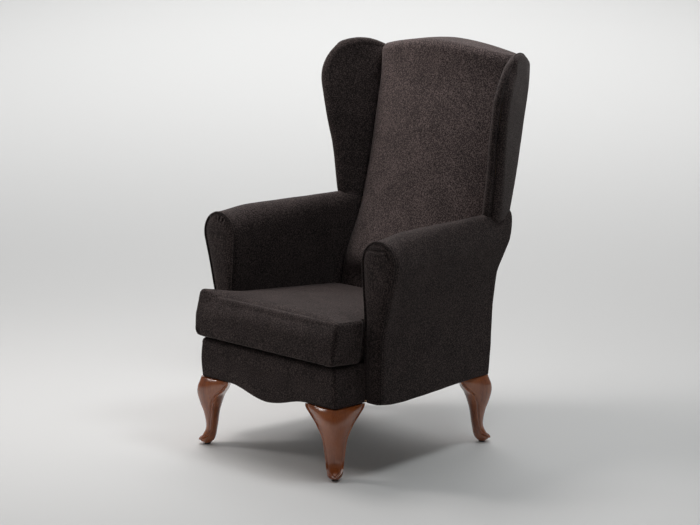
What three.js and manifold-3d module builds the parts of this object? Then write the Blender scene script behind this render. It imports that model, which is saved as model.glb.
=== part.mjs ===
// Wingback armchair: scroll arms, a loose seat cushion, flared wings and four cabriole legs.
// Millimetres. +Z is up, -Y is the front, +X is the right hand side seen from the front.
// The origin is on the floor under the middle of the chair.
import * as THREE from "three";
import { mergeVertices } from "three/addons/utils/BufferGeometryUtils.js";
import Module from "manifold-3d";

const wasm = await Module();
wasm.setup();

// Whole chair
const legHeight = 192;
const backRise = 899;
const backTop = legHeight + backRise;
const frontToMiddle = 361;
const backRake = 162;
const baseHalfWidth = 262.5;
const rearSpread = 14.5;
const rearHalfWidth = baseHalfWidth + rearSpread;
const clearance = 0.3;
const overrun = 40;
const weldDistance = 0.0005;

// Seat base
const borderWall = 8;
const borderRise = 108;
const borderTop = legHeight + borderRise;
const borderCorner = 10;
const borderBulge = 1.5;
const borderEdge = 3;
const borderDrop = 27;
const borderReturn = 110;
const legEarSpan = 112;
const railThickness = 25;
const railEndPlay = 0.8;
const deckFrontRise = 116;
const deckFrontHeight = legHeight + deckFrontRise;
const deckSlope = 4.6;
const deckThickness = 16;
const deckEdge = 4;
const blockLeg = 74;
const blockHeight = 40;

// Springs under the seat
const springCount = 4;
const springBends = 9;
const springWire = 1.9;
const springSideRoom = 67.5;
const springSpread = 2 * (baseHalfWidth - springSideRoom);
const springLoop = 21;
const springLanding = 14;

// Arms
const armSetback = 113;
const armInnerTuck = 3.5;
const armInnerFoot = baseHalfWidth - armInnerTuck;
const armInnerLean = 11;
const armInnerBendRise = 198;
const armInnerBend = legHeight + armInnerBendRise;
const armRise = 438;
const armTop = legHeight + armRise;
const armFrontRoll = 62;
const armRearRoll = 24;
const armFootWidth = 57.5;
const armFootFront = baseHalfWidth + armFootWidth;
const armFootRearWidth = 19.5;
const armFootRear = baseHalfWidth + armFootRearWidth;
const armBottomRise = 5;
const armBottom = legHeight + armBottomRise;
const armBelly = 7;
const armRearPlay = 0.7;
const armFootCorner = 10;
const armPadFootRise = 78;
const armPadFoot = legHeight + armPadFootRise;
const armPadFront = 16;
const armPadRear = 9;
const armPadLip = 5;
const coverThickness = 3;
const rearPlay = 0.8;
const panelThickness = 5;
const panelCrown = 6;
const panelEdge = 2;
const pipingRadius = 3.2;
const pipingInset = 2.2;
const stumpDepth = 35;
const stumpFootRise = 70;
const stumpFootTop = legHeight + stumpFootRise;
const baseRailThickness = 20;
const baseRailHeight = 54;

// Back
const backPostTuck = 4.5;
const backPostOuter = baseHalfWidth - backPostTuck;
const backPostWidth = 32;
const backPostInner = backPostOuter - backPostWidth;
const backPostDepth = 34;
const backPadTuck = 12.9;
const backPadHalfWidth = baseHalfWidth - backPadTuck;
const backPadThickLow = 81;
const backPadThickHigh = 55;
const backPadThinFromRise = 238;
const backPadThinFrom = legHeight + backPadThinFromRise;
const backPadThinToRise = 428;
const backPadThinTo = legHeight + backPadThinToRise;
const backCrownLow = 45;
const backCrownHigh = 28;
const backCrownFromRise = 206;
const backCrownFrom = legHeight + backCrownFromRise;
const backCrownToRise = 288;
const backCrownTo = legHeight + backCrownToRise;
const backPadFootRise = 80;
const backPadFoot = legHeight + backPadFootRise;
const backPadSideEdge = 7;
const backArch = 31;
const backArchTuck = 24.5;
const backArchHalfWidth = baseHalfWidth - backArchTuck;
const backTopRound = 22;
const backTopEdge = 6;
const backLip = 14;
const crestHeight = 70;
const crestCover = 26;
const crestPlay = 1;
const lowerRailHeight = 46;
const lowerRailFootRise = 108;
const lowerRailFoot = legHeight + lowerRailFootRise;
const webWidth = 58;
const webThickness = 2;
const webTuck = 15.5;
const webHalfLength = baseHalfWidth - webTuck;
const webPlay = 2.2;
const webCount = 3;
const webLowestRise = 258;
const webLowest = legHeight + webLowestRise;
const webHeadroom = 135;
const webSpan = backTop - crestCover - crestHeight - webHeadroom - webLowest;

// Wings
const wingFootTuck = 24;
const wingFoot = armTop - wingFootTuck;
const wingSeamRise = 3;
const wingSeam = armTop + wingSeamRise;
const wingTopDrop = 17;
const wingTop = backTop - wingTopDrop;
const wingReach = 200;
const wingRearDrop = 131;
const wingRearTop = backTop - wingRearDrop;
const wingRoll = 25;
const wingRollTop = 17;
const wingProud = 8;
const wingWrap = 64;
const wingBoardThickness = 12;
const wingBoardInset = 22;
const wingCoverThickness = 4;
const wingCoverCrown = 5;
const wingCoverPlay = 0.9;
const wingFlareLow = 17.8;
const wingFlareHigh = 24.6;
const wingInnerRearTuck = 12.5;
const wingInnerRear = baseHalfWidth - wingInnerRearTuck;
const wingInnerTuck = 7;

// Seat cushion
const cushionThickness = 116;
const cushionOverhang = 24;
const cushionLength = 527;
const deckShort = 27;
const deckLength = cushionLength - deckShort;
const backFootTuck = 7;
const rearFoot = cushionLength - cushionOverhang - frontToMiddle + backPadThickLow - backFootTuck;
const cushionSidePlay = 7;
const cushionHalfWidth = baseHalfWidth - cushionSidePlay;
const cushionFrontEar = 6.5;
const cushionFrontHalfWidth = baseHalfWidth + cushionFrontEar;
const cushionFrontLength = 80;
const cushionFlareLength = 22;
const cushionCrown = 12;
const cushionSideCrown = 5;
const cushionFrontLean = 13.7;
const cushionCorner = 18;
const cushionEdge = 7;
const cushionCover = 2.6;
const zipHalfLength = 200;
const zipSlot = 10;
const zipThickness = 1.4;
const sliderLength = 16;
const sliderHalf = 4.2;
const sliderThickness = 2.4;

// Legs, their bolts and glides
const legEar = 79;
const legTopCut = 84;
const glideHeight = 4;
const glideRadius = 9;
const boltRadius = 4;
const boltDepth = 30;
const boltLength = 60;
const boltInset = 12.7;

// Dust cover under the seat
const dustThickness = 1.5;
const dustInset = 9.5;

const slope = THREE.MathUtils.degToRad(deckSlope);
const sides = [["left", -1], ["right", 1]];
const mix = THREE.MathUtils.lerp;
const smooth = THREE.MathUtils.smoothstep;
const clamp = THREE.MathUtils.clamp;

// A smooth line through a few places, both given as shares.
function through(places, values) {
  const slopes = values.map((value, i) => {
    const before = Math.max(i - 1, 0);
    const after = Math.min(i + 1, values.length - 1);
    return (values[after] - values[before]) / (places[after] - places[before]);
  });
  return (at) => {
    const t = clamp(at, places[0], places[places.length - 1]);
    let i = 0;
    while (i < places.length - 2 && t > places[i + 1]) i += 1;
    const width = places[i + 1] - places[i];
    const u = (t - places[i]) / width;
    const rise = u * u * (3 - 2 * u);
    const lead = u * (1 - u) * (1 - u) * width * slopes[i];
    const trail = u * u * (1 - u) * width * slopes[i + 1];
    return mix(values[i], values[i + 1], rise) + lead - trail;
  };
}

// Whole numbers from 0 to count.
function counts(count) {
  return Array.from({ length: count + 1 }, (_, i) => i);
}

// Steps from 0 to 1.
function shares(count) {
  return counts(count).map((i) => i / count);
}

const point = (x, y, z) => new THREE.Vector3(x, y, z);

// A closed surface from corner points and faces, turned so that it faces out.
function closed(points, faces) {
  const geometry = new THREE.BufferGeometry().setFromPoints(points);
  geometry.setIndex(faces.flat());
  return outward(geometry);
}

function outward(geometry) {
  const bare = new THREE.BufferGeometry();
  bare.setAttribute("position", geometry.getAttribute("position"));
  bare.setIndex(geometry.getIndex());
  const welded = mergeVertices(bare, weldDistance);
  const at = welded.getAttribute("position");
  const index = welded.getIndex().array;
  const kept = [];
  let volume = 0;
  const [a, b, c] = [point(), point(), point()];
  for (let i = 0; i < index.length; i += 3) {
    const [p, q, r] = index.slice(i, i + 3);
    if (p === q || q === r || r === p) continue;
    kept.push([p, q, r]);
    b.fromBufferAttribute(at, q).cross(c.fromBufferAttribute(at, r));
    volume += a.fromBufferAttribute(at, p).dot(b);
  }
  welded.setIndex((volume < 0 ? kept.map(([p, q, r]) => [p, r, q]) : kept).flat());
  return welded;
}

// Rings of points joined one after the other. The ends are filled with flat triangles or, on a
// sheet whose second half runs back along the first, with strips between the two halves.
function loft(rings, sheet = false) {
  const size = rings[0].length;
  const points = rings.flat();
  const faces = [];
  for (let k = 0; k < rings.length - 1; k += 1) {
    for (let i = 0; i < size; i += 1) {
      const next = (i + 1) % size;
      const [low, high] = [k * size, (k + 1) * size];
      faces.push([low + i, low + next, high + next], [low + i, high + next, high + i]);
    }
  }
  for (const [ring, start, flip] of [[rings[0], 0, true], [rings.at(-1), points.length - size, false]]) {
    const triangles = sheet ? stripTriangles(size) : flatTriangles(ring);
    for (const [p, q, r] of triangles) {
      faces.push(flip ? [start + p, start + r, start + q] : [start + p, start + q, start + r]);
    }
  }
  return closed(points, faces);
}

function stripTriangles(size) {
  return shares(size / 2 - 1).slice(1).flatMap((_, i) => {
    const [far, near] = [size - 1 - i, size - 2 - i];
    return [[i, i + 1, near], [i, near, far]];
  });
}

// Triangles over an outline, as seen along its mean normal.
function flatTriangles(outline) {
  const normal = point(0, 0, 0);
  outline.forEach((p, i) => normal.add(p.clone().cross(outline[(i + 1) % outline.length])));
  const turn = new THREE.Quaternion().setFromUnitVectors(normal.normalize(), point(0, 0, 1));
  const flat = outline.map((p) => {
    const turned = p.clone().applyQuaternion(turn);
    return new THREE.Vector2(turned.x, turned.y);
  });
  return THREE.ShapeUtils.triangulateShape(flat, []);
}

// A padded sheet between two surfaces, each a function of two shares.
function slab(front, back, rows, columns) {
  const points = [];
  const faces = [];
  const place = (side, i, j) => side * (rows + 1) * (columns + 1) + i * (columns + 1) + j;
  for (const surface of [front, back]) {
    for (const u of shares(rows)) {
      for (const v of shares(columns)) points.push(surface(u, v));
    }
  }
  const quad = (a, b, c, d) => faces.push([a, b, c], [a, c, d]);
  for (let i = 0; i < rows; i += 1) {
    for (let j = 0; j < columns; j += 1) {
      quad(place(0, i, j), place(0, i, j + 1), place(0, i + 1, j + 1), place(0, i + 1, j));
      quad(place(1, i, j), place(1, i + 1, j), place(1, i + 1, j + 1), place(1, i, j + 1));
    }
    quad(place(0, i, 0), place(0, i + 1, 0), place(1, i + 1, 0), place(1, i, 0));
    quad(place(0, i + 1, columns), place(0, i, columns), place(1, i, columns), place(1, i + 1, columns));
  }
  for (let j = 0; j < columns; j += 1) {
    quad(place(0, 0, j + 1), place(0, 0, j), place(1, 0, j), place(1, 0, j + 1));
    quad(place(0, rows, j), place(0, rows, j + 1), place(1, rows, j + 1), place(1, rows, j));
  }
  return closed(points, faces);
}

// A box between two corners.
function box(x0, x1, y0, y1, z0, z1) {
  const geometry = new THREE.BoxGeometry(Math.abs(x1 - x0), Math.abs(y1 - y0), Math.abs(z1 - z0));
  geometry.translate(mix(x0, x1, 0.5), mix(y0, y1, 0.5), mix(z0, z1, 0.5));
  return outward(geometry);
}

function solid(geometry) {
  return new wasm.Manifold(new wasm.Mesh({
    numProp: 3,
    vertProperties: geometry.getAttribute("position").array,
    triVerts: new Uint32Array(geometry.getIndex().array),
  }));
}

// The first shape less the others; crumbs that a cut leaves are dropped.
function without(geometry, cutters) {
  let made = solid(geometry);
  for (const cutter of cutters) made = made.subtract(solid(cutter));
  const [largest] = made.decompose().sort((a, b) => b.volume() - a.volume());
  const mesh = largest.getMesh();
  const cut = new THREE.BufferGeometry();
  cut.setAttribute("position", new THREE.BufferAttribute(mesh.vertProperties, mesh.numProp));
  cut.setIndex([...mesh.triVerts]);
  return cut;
}

// Materials
const cloth = { color: 0x2b2523, roughness: 0.95, metalness: 0 };
const darkCloth = { color: 0x1f1b1a, roughness: 0.95, metalness: 0 };
const walnut = { color: 0x6b2e17, roughness: 0.25, metalness: 0 };
const beech = { color: 0xc79a63, roughness: 0.7, metalness: 0 };
const plywood = { color: 0xb98f5e, roughness: 0.75, metalness: 0 };
const foam = { color: 0xd9cfa8, roughness: 0.95, metalness: 0 };
const steel = { color: 0x8a8d90, roughness: 0.4, metalness: 0.9 };
const jute = { color: 0x9a7b4f, roughness: 0.95, metalness: 0 };
const blackCloth = { color: 0x151515, roughness: 0.95, metalness: 0 };
const nylon = { color: 0x20201f, roughness: 0.5, metalness: 0 };

const chair = new THREE.Group();
const cushion = new THREE.Group();
cushion.position.set(0, -frontToMiddle, deckFrontHeight);
cushion.rotation.x = -slope;
chair.add(cushion);

function add(name, geometry, finish, group = chair) {
  const faceted = geometry.toNonIndexed();
  faceted.computeVertexNormals();
  const mesh = new THREE.Mesh(faceted, new THREE.MeshStandardMaterial(finish));
  mesh.name = name;
  group.add(mesh);
  return mesh;
}

// Back lines: the outside of the back in profile, the frame inside it and the inner pad's side edges.
const backHeightShares = [0, 0.131, 0.27, 0.385, 0.495, 0.613, 0.761, 0.887, 1];
const backSetShares = [0, 0.08, 0.19, 0.364, 0.537, 0.704, 0.864, 0.988, 1];
const backSet = through(backHeightShares, backSetShares);

function backLine(z) {
  return rearFoot + backRake * backSet((z - legHeight) / (backTop - legHeight));
}

function postBack(z) {
  return backLine(z) - coverThickness - rearPlay;
}

function postFront(z) {
  return postBack(z) - backPostDepth;
}

function innerLine(z) {
  const thin = smooth(z, backPadThinFrom, backPadThinTo);
  return backLine(z) - mix(backPadThickLow, backPadThickHigh, thin);
}

function archDrop(x) {
  return backArch * Math.abs(x / backArchHalfWidth) ** 1.7;
}

// The flat lower edge of the crest rail, where the posts end.
const crestFoot = backTop - archDrop(backPostOuter) - crestCover - crestHeight;

// Deck: the sloped plane that the loose cushion rests on, and the rail tops under its pad.
function deckPlane(y) {
  return deckFrontHeight - (y + frontToMiddle) * Math.tan(slope);
}

function railTop(y) {
  return deckPlane(y) - (deckThickness + clearance) / Math.cos(slope);
}

// The underside of the front border and rail: straight over the leg tops, dipped between them.
function frontEdge(x) {
  const inward = (baseHalfWidth - legEarSpan - Math.abs(x)) / (baseHalfWidth - legEarSpan);
  return legHeight + clearance - borderDrop * smooth(inward, 0, 1);
}

// Seat frame
const frontRailFront = -frontToMiddle + borderWall + clearance;
const frontRailBack = frontRailFront + railThickness;
const sideRailOuter = baseHalfWidth - borderWall - clearance;
const sideRailInner = sideRailOuter - railThickness;
const backRailBack = postBack(legHeight) - railEndPlay;
const backRailFront = backRailBack - railThickness;
const frameFoot = legHeight + clearance;

const springXs = counts(springCount - 1).map((i) => mix(-0.5, 0.5, i / (springCount - 1)) * springSpread);
const springStart = frontRailBack - springLanding;
const springEnd = backRailFront + springLanding;
const springSink = springWire + clearance;

// Notches in the rail tops where the spring ends lie.
function springNotches(inner, end) {
  const half = springWire + clearance;
  return springXs.map((x) => {
    const low = Math.min(railTop(inner), railTop(end)) - 2 * half - clearance;
    return box(x - half, x + half, inner, end, low, low + overrun);
  });
}

function frontRail() {
  const end = sideRailOuter - railEndPlay;
  const rings = shares(24).map((share) => {
    const x = mix(-end, end, share);
    const low = frontEdge(x) + clearance;
    return [
      point(x, frontRailFront, low),
      point(x, frontRailBack, low),
      point(x, frontRailBack, railTop(frontRailBack)),
      point(x, frontRailFront, railTop(frontRailFront)),
    ];
  });
  const notchStart = springStart - clearance;
  return without(loft(rings), springNotches(frontRailBack + overrun, notchStart));
}

function backRail() {
  const end = backPostInner - clearance;
  const rings = [-end, end].map((x) => [
    point(x, backRailFront, frameFoot),
    point(x, backRailBack, frameFoot),
    point(x, backRailBack, railTop(backRailBack)),
    point(x, backRailFront, railTop(backRailFront)),
  ]);
  return without(loft(rings), springNotches(backRailFront - overrun, springEnd + clearance));
}

function sideRail(side) {
  const front = frontRailBack + clearance;
  const back = postFront(legHeight) - clearance;
  return loft([sideRailInner, sideRailOuter].map((x) => [
    point(side * x, front, frameFoot),
    point(side * x, back, frameFoot),
    point(side * x, back, railTop(back)),
    point(side * x, front, railTop(front)),
  ]));
}

add("front_rail", frontRail(), beech);
add("back_rail", backRail(), beech);
for (const [name, side] of sides) add(`side_rail_${name}`, sideRail(side), beech);

// Four corners: where each leg's outer corner stands, and where its bolt goes up into the block.
const frontBlockX = sideRailInner - clearance;
const rearBlockX = backPostInner - clearance;
const frontBlockY = frontRailBack + clearance;
const rearBlockY = backRailFront - clearance;
const corners = sides.flatMap(([name, side]) => [
  {
    name: `front_${name}`,
    way: [side, -1],
    corner: [side * baseHalfWidth, -frontToMiddle],
    block: [side * frontBlockX, frontBlockY],
  },
  {
    name: `rear_${name}`,
    way: [side, 1],
    corner: [side * rearHalfWidth, rearFoot],
    block: [side * rearBlockX, rearBlockY],
  },
]);

function rod(x, y, radius, z0, z1) {
  const geometry = new THREE.CylinderGeometry(radius, radius, z1 - z0, 20);
  geometry.rotateX(Math.PI / 2);
  geometry.translate(x, y, mix(z0, z1, 0.5));
  return outward(geometry);
}

function cornerBlock({ way: [sx, sy], block: [x, y] }, bolt) {
  const outline = [[x, y], [x - sx * blockLeg, y], [x, y - sy * blockLeg]];
  const levels = [frameFoot, frameFoot + blockHeight];
  const rings = levels.map((z) => outline.map(([px, py]) => point(px, py, z)));
  const bore = rod(bolt[0], bolt[1], boltRadius + clearance, frameFoot - overrun, frameFoot + 2 * overrun);
  return without(loft(rings), [bore]);
}

// Cabriole leg, in its own frame: X runs out along the diagonal from the corner, Y across it.
const legHeightShares = [0.02, 0.065, 0.13, 0.216, 0.308, 0.486, 0.589, 0.751, 0.854, 0.95, 1];
const ridgeShares = [-0.066, 0.085, -0.026, -0.131, -0.151, -0.066, 0.026, 0.131, 0.125, 0.035, 0];
const earOutShares = [-0.157, -0.105, -0.197, -0.341, -0.38, -0.432, -0.445, -0.576, -0.812, -0.97, -1];
const earWideShares = [0.144, 0.236, 0.275, 0.301, 0.328, 0.386, 0.432, 0.616, 0.8, 0.965, 1];
const backOutShares = [-0.314, -0.432, -0.498, -0.537, -0.576, -0.642, -0.707, -0.852, -1, -1.05, -1.063];
const swellShares = [0.03, 0.045, 0.05, 0.05, 0.05, 0.055, 0.07, 0.09, 0.05, 0.01, 0];
const legLine = (values) => through(legHeightShares, values);
const ridgeLine = legLine(ridgeShares);
const earOutLine = legLine(earOutShares);
const earWideLine = legLine(earWideShares);
const backOutLine = legLine(backOutShares);
const swellLine = legLine(swellShares);

function legSection(share) {
  const ridge = ridgeLine(share) * legEar;
  const ear = [earOutLine(share) * legEar, earWideLine(share) * legEar];
  const rear = backOutLine(share) * legEar;
  const swell = swellLine(share) * legEar;
  const half = [];
  for (const t of shares(4)) {
    const bulge = swell * Math.sin(Math.PI * t);
    half.push([mix(ridge, ear[0], t) + bulge * 0.7, ear[1] * t + bulge * 0.7]);
  }
  half.push([mix(ear[0], rear, 0.75), ear[1] * 0.6]);
  half.push([rear, 0]);
  const mirrored = half.slice(1, -1).reverse().map(([x, y]) => [x, -y]);
  return [...half, ...mirrored].map(([x, y]) => point(x, y, Math.max(share * legHeight, glideHeight)));
}

function leg({ way, corner, name }, bolt) {
  const lowLevels = [0.02, 0.045, 0.075, 0.13, 0.2, 0.3, 0.4, 0.49];
  const highLevels = [0.57, 0.65, 0.72, 0.79, 0.86, 0.93, 0.97, 1];
  const rings = [...lowLevels, ...highLevels].map((share) => legSection(share));
  const shape = loft(rings);
  shape.rotateZ(Math.atan2(way[1], way[0]));
  shape.translate(corner[0], corner[1], 0);
  const floor = legHeight - boltDepth - clearance;
  const bore = rod(bolt[0], bolt[1], boltRadius + clearance, floor, legHeight + overrun);
  return without(shape, [bore]);
}

for (const corner of corners) {
  const [sx, sy] = corner.way;
  const bolt = [corner.block[0] - sx * boltInset, corner.block[1] - sy * boltInset];
  const foot = legEar * mix(ridgeShares[0], backOutShares[0], 0.5) * Math.SQRT1_2;
  const glide = [corner.corner[0] + sx * foot, corner.corner[1] + sy * foot];
  const boltFoot = legHeight - boltDepth;
  add(`corner_block_${corner.name}`, cornerBlock(corner, bolt), beech);
  add(`leg_${corner.name}`, leg(corner, bolt), walnut);
  add(`leg_bolt_${corner.name}`, rod(bolt[0], bolt[1], boltRadius, boltFoot, boltFoot + boltLength), steel);
  add(`glide_${corner.name}`, rod(glide[0], glide[1], glideRadius, 0, glideHeight - clearance), nylon);
}

// Seat springs: flat zigzag wires from the front rail to the back rail.
class SpringLine extends THREE.Curve {
  constructor(x) {
    super();
    this.x = x;
  }

  getPoint(share, target = new THREE.Vector3()) {
    const y = mix(springStart, springEnd, share);
    const span = springEnd - springStart - 4 * springLanding;
    const along = clamp((y - springStart - 2 * springLanding) / span, 0, 1);
    const swing = springLoop * Math.sin(along * springBends * Math.PI);
    return target.set(this.x + swing, y, railTop(y) - springSink);
  }
}

function tube(path, radius, steps, count) {
  const section = new THREE.Shape(counts(count - 1).map((i) => {
    const angle = (2 * Math.PI * i) / count;
    return new THREE.Vector2(radius * Math.cos(angle), radius * Math.sin(angle));
  }));
  const geometry = new THREE.ExtrudeGeometry(section, { steps, extrudePath: path, bevelEnabled: false });
  return outward(mergeVertices(bare(geometry), weldDistance));
}

function bare(geometry) {
  const only = new THREE.BufferGeometry();
  only.setAttribute("position", geometry.getAttribute("position"));
  return only;
}

springXs.forEach((x, i) => {
  add(`seat_spring_${i + 1}`, tube(new SpringLine(x), springWire, springBends * 5 + 6, 4), steel);
});

// Border round the front of the seat: cloth over padding, with a dipped lower edge.
function frontBorder() {
  const path = [];
  const straight = -frontToMiddle + borderCorner;
  const inner = baseHalfWidth - borderCorner;
  path.push([-baseHalfWidth, straight + borderReturn - borderCorner, -1, 0]);
  for (const t of shares(4)) {
    const angle = Math.PI + (Math.PI / 2) * t;
    const [nx, ny] = [Math.cos(angle), Math.sin(angle)];
    path.push([-inner + borderCorner * nx, straight + borderCorner * ny, nx, ny]);
  }
  for (const t of shares(24).slice(1, -1)) path.push([mix(-inner, inner, t), -frontToMiddle, 0, -1]);
  for (const t of shares(4)) {
    const angle = (Math.PI / 2) * (t - 1);
    const [nx, ny] = [Math.cos(angle), Math.sin(angle)];
    path.push([inner + borderCorner * nx, straight + borderCorner * ny, nx, ny]);
  }
  path.push([baseHalfWidth, straight + borderReturn - borderCorner, 1, 0]);
  const rings = path.map(([x, y, nx, ny]) => {
    const low = frontEdge(x);
    const at = (out, z) => point(x + nx * out, y + ny * out, z);
    return [
      at(-borderWall, low),
      at(-borderEdge, low),
      at(0, low + borderEdge),
      at(borderBulge, mix(low, borderTop, 0.35)),
      at(borderBulge, mix(low, borderTop, 0.7)),
      at(0, borderTop - borderEdge),
      at(-borderEdge, borderTop),
      at(-borderWall, borderTop),
    ];
  });
  return loft(rings);
}

add("front_border", frontBorder(), cloth);

// Deck pad over the rails and springs, in the sloped frame of the cushion.
function deckPad() {
  const half = sideRailOuter - clearance;
  const front = borderWall + 2 * clearance + deckThickness * Math.tan(slope);
  const rear = front + deckLength;
  const outline = [[-half, front], [half, front], [half, rear], [-half, rear]];
  const rings = [[0, -deckThickness], [0, -deckEdge], [deckEdge, -clearance]].map(([inset, z]) => {
    return outline.map(([x, y]) => point(
      x - Math.sign(x) * inset,
      mix(y, mix(front, rear, 0.5), (2 * inset) / deckLength),
      z,
    ));
  });
  return loft(rings);
}

add("deck_pad", deckPad(), darkCloth, cushion);

// Arms. The section is an upright inner face, a roll and an outer face that draws in below it.
// The roll is large at the front and small at the back, and the outer face follows it.
const rollEnd = THREE.MathUtils.degToRad(15);
const armFront = -frontToMiddle + armSetback;
const armBodyFront = armFront + panelThickness + clearance;
const armInnerTop = armInnerFoot - armInnerLean;
const outerDropShares = [0, 0.154, 0.38, 0.505, 0.75, 1];
const outerFlareShares = [1, 0.68, 0.28, 0.05, 0, 0];
const rearDropShares = [0, 0.074, 0.235, 0.334, 0.62, 0.8, 1];
const rearSwellShares = [1, 0.46, -0.62, -0.65, -0.31, 0, 0];
const frontOuterLine = through(outerDropShares, outerFlareShares);
const rearOuterLine = through(rearDropShares, rearSwellShares);

function rollRadius(s) {
  return mix(armFrontRoll, armRearRoll, s);
}

function rollEdge(s) {
  return armInnerTop + rollRadius(s) * (1 + Math.cos(rollEnd));
}

function armInnerX(z, s) {
  return armInnerFoot - armInnerLean * smooth(z, armInnerBend, armTop - rollRadius(s));
}

// The outer face below the roll, from 0 under the roll to 1 at the foot.
function armOuter(s, drop, inset, foot = armBottom) {
  const top = armTop - rollRadius(s) * (1 + Math.sin(rollEnd));
  const z = mix(top, foot, drop);
  const frontX = mix(armFootFront, rollEdge(0), frontOuterLine(drop));
  const rearX = armFootRear + (rollEdge(1) - armFootRear) * rearOuterLine(drop);
  const short = Math.max(armFootCorner - (z - foot), 0);
  const corner = armFootCorner - Math.sqrt(armFootCorner ** 2 - short ** 2);
  return [mix(frontX, rearX, s) - inset - corner * (1 - smooth(s, 0, 0.08)), z];
}

function armRoll(s, inset, steps) {
  const radius = rollRadius(s);
  return shares(steps).map((t) => {
    const angle = Math.PI - t * (Math.PI + rollEnd);
    const reach = radius - inset;
    return [armInnerTop + radius + reach * Math.cos(angle), armTop - radius + reach * Math.sin(angle)];
  });
}

function armInner(s, inset, foot, steps) {
  return shares(steps).slice(0, -1).map((t) => {
    const z = mix(foot, armTop - rollRadius(s), t);
    return [armInnerX(z, s) + inset, z];
  });
}

function armSection(s, inset, foot = armBottom) {
  const drops = shares(10).slice(1).map((t) => 1 - (1 - t) ** 1.6);
  const outer = drops.map((drop) => armOuter(s, drop, inset));
  return [...armInner(s, inset, foot, 7), ...armRoll(s, inset, 14), ...outer];
}

// Depth of a place on the arm: share s of the way from the front panel to the back line.
function armRear(z) {
  return postBack(z) - armRearPlay;
}

function armDepth(s, z) {
  return mix(armBodyFront, armRear(z), s);
}

function armShare(y, z) {
  return (y - armBodyFront) / (armRear(z) - armBodyFront);
}

function placed(side, outline, s, further = 0) {
  return outline.map(([x, z]) => point(side * x, armDepth(s, z) + further, z));
}

// The whole space of an arm, for what is cut to fit it.
function armBody(side, grow) {
  const rings = [0, 0.5, 1].map((s) => placed(side, armSection(s, -grow), s));
  return loft([...rings, placed(side, armSection(1, -grow), 1, overrun)]);
}

function backPost(side, grow, top) {
  const inner = side * (backPostInner - grow);
  const outer = side * (backPostOuter + grow);
  return loft(shares(18).map((t) => {
    const z = mix(frameFoot, top, t);
    return [
      point(inner, postFront(z) - grow, z),
      point(outer, postFront(z) - grow, z),
      point(outer, postBack(z) + grow, z),
      point(inner, postBack(z) + grow, z),
    ];
  }));
}

// Rail under the roll: thick behind the front board, slim where it laps the back post.
const railFrontShares = [-0.72, 0.72, -0.5, 0.5];
const railRearTopShare = 0.3;
const railRearFootShare = -0.85;
const railRearOuterShare = 0.5;

function armTopRail(side, grow) {
  const start = armBodyFront + stumpDepth + 2 * clearance;
  const hollow = armFrontRoll - armPadFront - clearance;
  const [frontX, frontZ] = [armInnerTop + armFrontRoll, armTop - armFrontRoll];
  const [rearX, rearZ] = [armInnerTop + armRearRoll, armTop - armRearRoll];
  const [inner, outer, low, high] = railFrontShares.map((share) => share * hollow);
  const end = postBack(rearZ - armRearRoll) - clearance;
  const frontEnd = [
    frontX + inner - grow,
    frontX + outer + grow,
    frontZ + low - grow,
    frontZ + high + grow,
  ];
  const rearEnd = [
    backPostOuter + clearance - grow,
    rearX + railRearOuterShare * armRearRoll + grow,
    rearZ + railRearFootShare * armRearRoll - grow,
    rearZ + railRearTopShare * armRearRoll + grow,
  ];
  const rings = [[start - grow, frontEnd], [end + grow, rearEnd]].map(([y, [x0, x1, z0, z1]]) => [
    point(side * x0, y, z0),
    point(side * x1, y, z0),
    point(side * x1, y, z1),
    point(side * x0, y, z1),
  ]);
  return loft(rings);
}

function armPad(side) {
  const stations = [[0, armPadLip], [0.012, armPadLip / 4], [0.03, 0], [0.5, 0], [1, 0]];
  const lipShares = [0.02, 0.0735];
  const rings = stations.map(([s, lip]) => {
    const thick = mix(armPadFront, armPadRear, s);
    const sheet = (inset) => [
      ...armInner(s, inset, armPadFoot, 6),
      ...armRoll(s, inset, 12),
      ...lipShares.map((drop) => armOuter(s, drop, inset)),
    ];
    return placed(side, [...sheet(lip), ...sheet(thick).reverse()], s);
  });
  return without(loft(rings, true), [
    backPost(side, clearance, crestFoot),
    backPadShape(clearance),
    armTopRail(side, clearance),
  ]);
}

const coverDrops = [0.075, 0.154, 0.25, 0.38, 0.5, 0.62, 0.75, 0.9, 0.965, 1];

function armOutsideCover(side) {
  const stations = [0, 0.03, 0.06, 0.08, 0.3, 0.5, 0.75, 1];
  const rings = stations.map((s) => {
    const foot = armBottom - armBelly * Math.sin(Math.PI * Math.sqrt(s)) ** 2;
    const outer = coverDrops.map((drop) => armOuter(s, drop, 0, foot));
    const inner = coverDrops.map((drop) => armOuter(s, drop, coverThickness, foot));
    return placed(side, [...outer, ...inner.reverse()], s);
  });
  return loft(rings, true);
}

// The two edges of the front panel at a height.
function panelEdges(z, inset) {
  const radius = armFrontRoll - inset;
  const centreZ = armTop - armFrontRoll;
  const centreX = armInnerTop + armFrontRoll;
  const half = Math.sqrt(Math.max(radius ** 2 - (z - centreZ) ** 2, 0));
  const underRoll = armTop - armFrontRoll * (1 + Math.sin(rollEnd));
  const drop = clamp((underRoll - z) / (underRoll - armBottom), 0, 1);
  const inner = z > centreZ ? centreX - half : armInnerX(z, 0) + inset;
  const outer = z > underRoll ? centreX + half : armOuter(0, drop, inset)[0];
  return [inner, outer];
}

function panelHeights(inset, foot) {
  const centreZ = armTop - armFrontRoll;
  const radius = armFrontRoll - inset;
  const roll = shares(7).slice(0, -1).map((t) => centreZ + radius * Math.cos((Math.PI / 2) * t));
  const below = shares(8).map((t) => mix(centreZ, foot, t));
  return [...roll, ...below];
}

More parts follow.
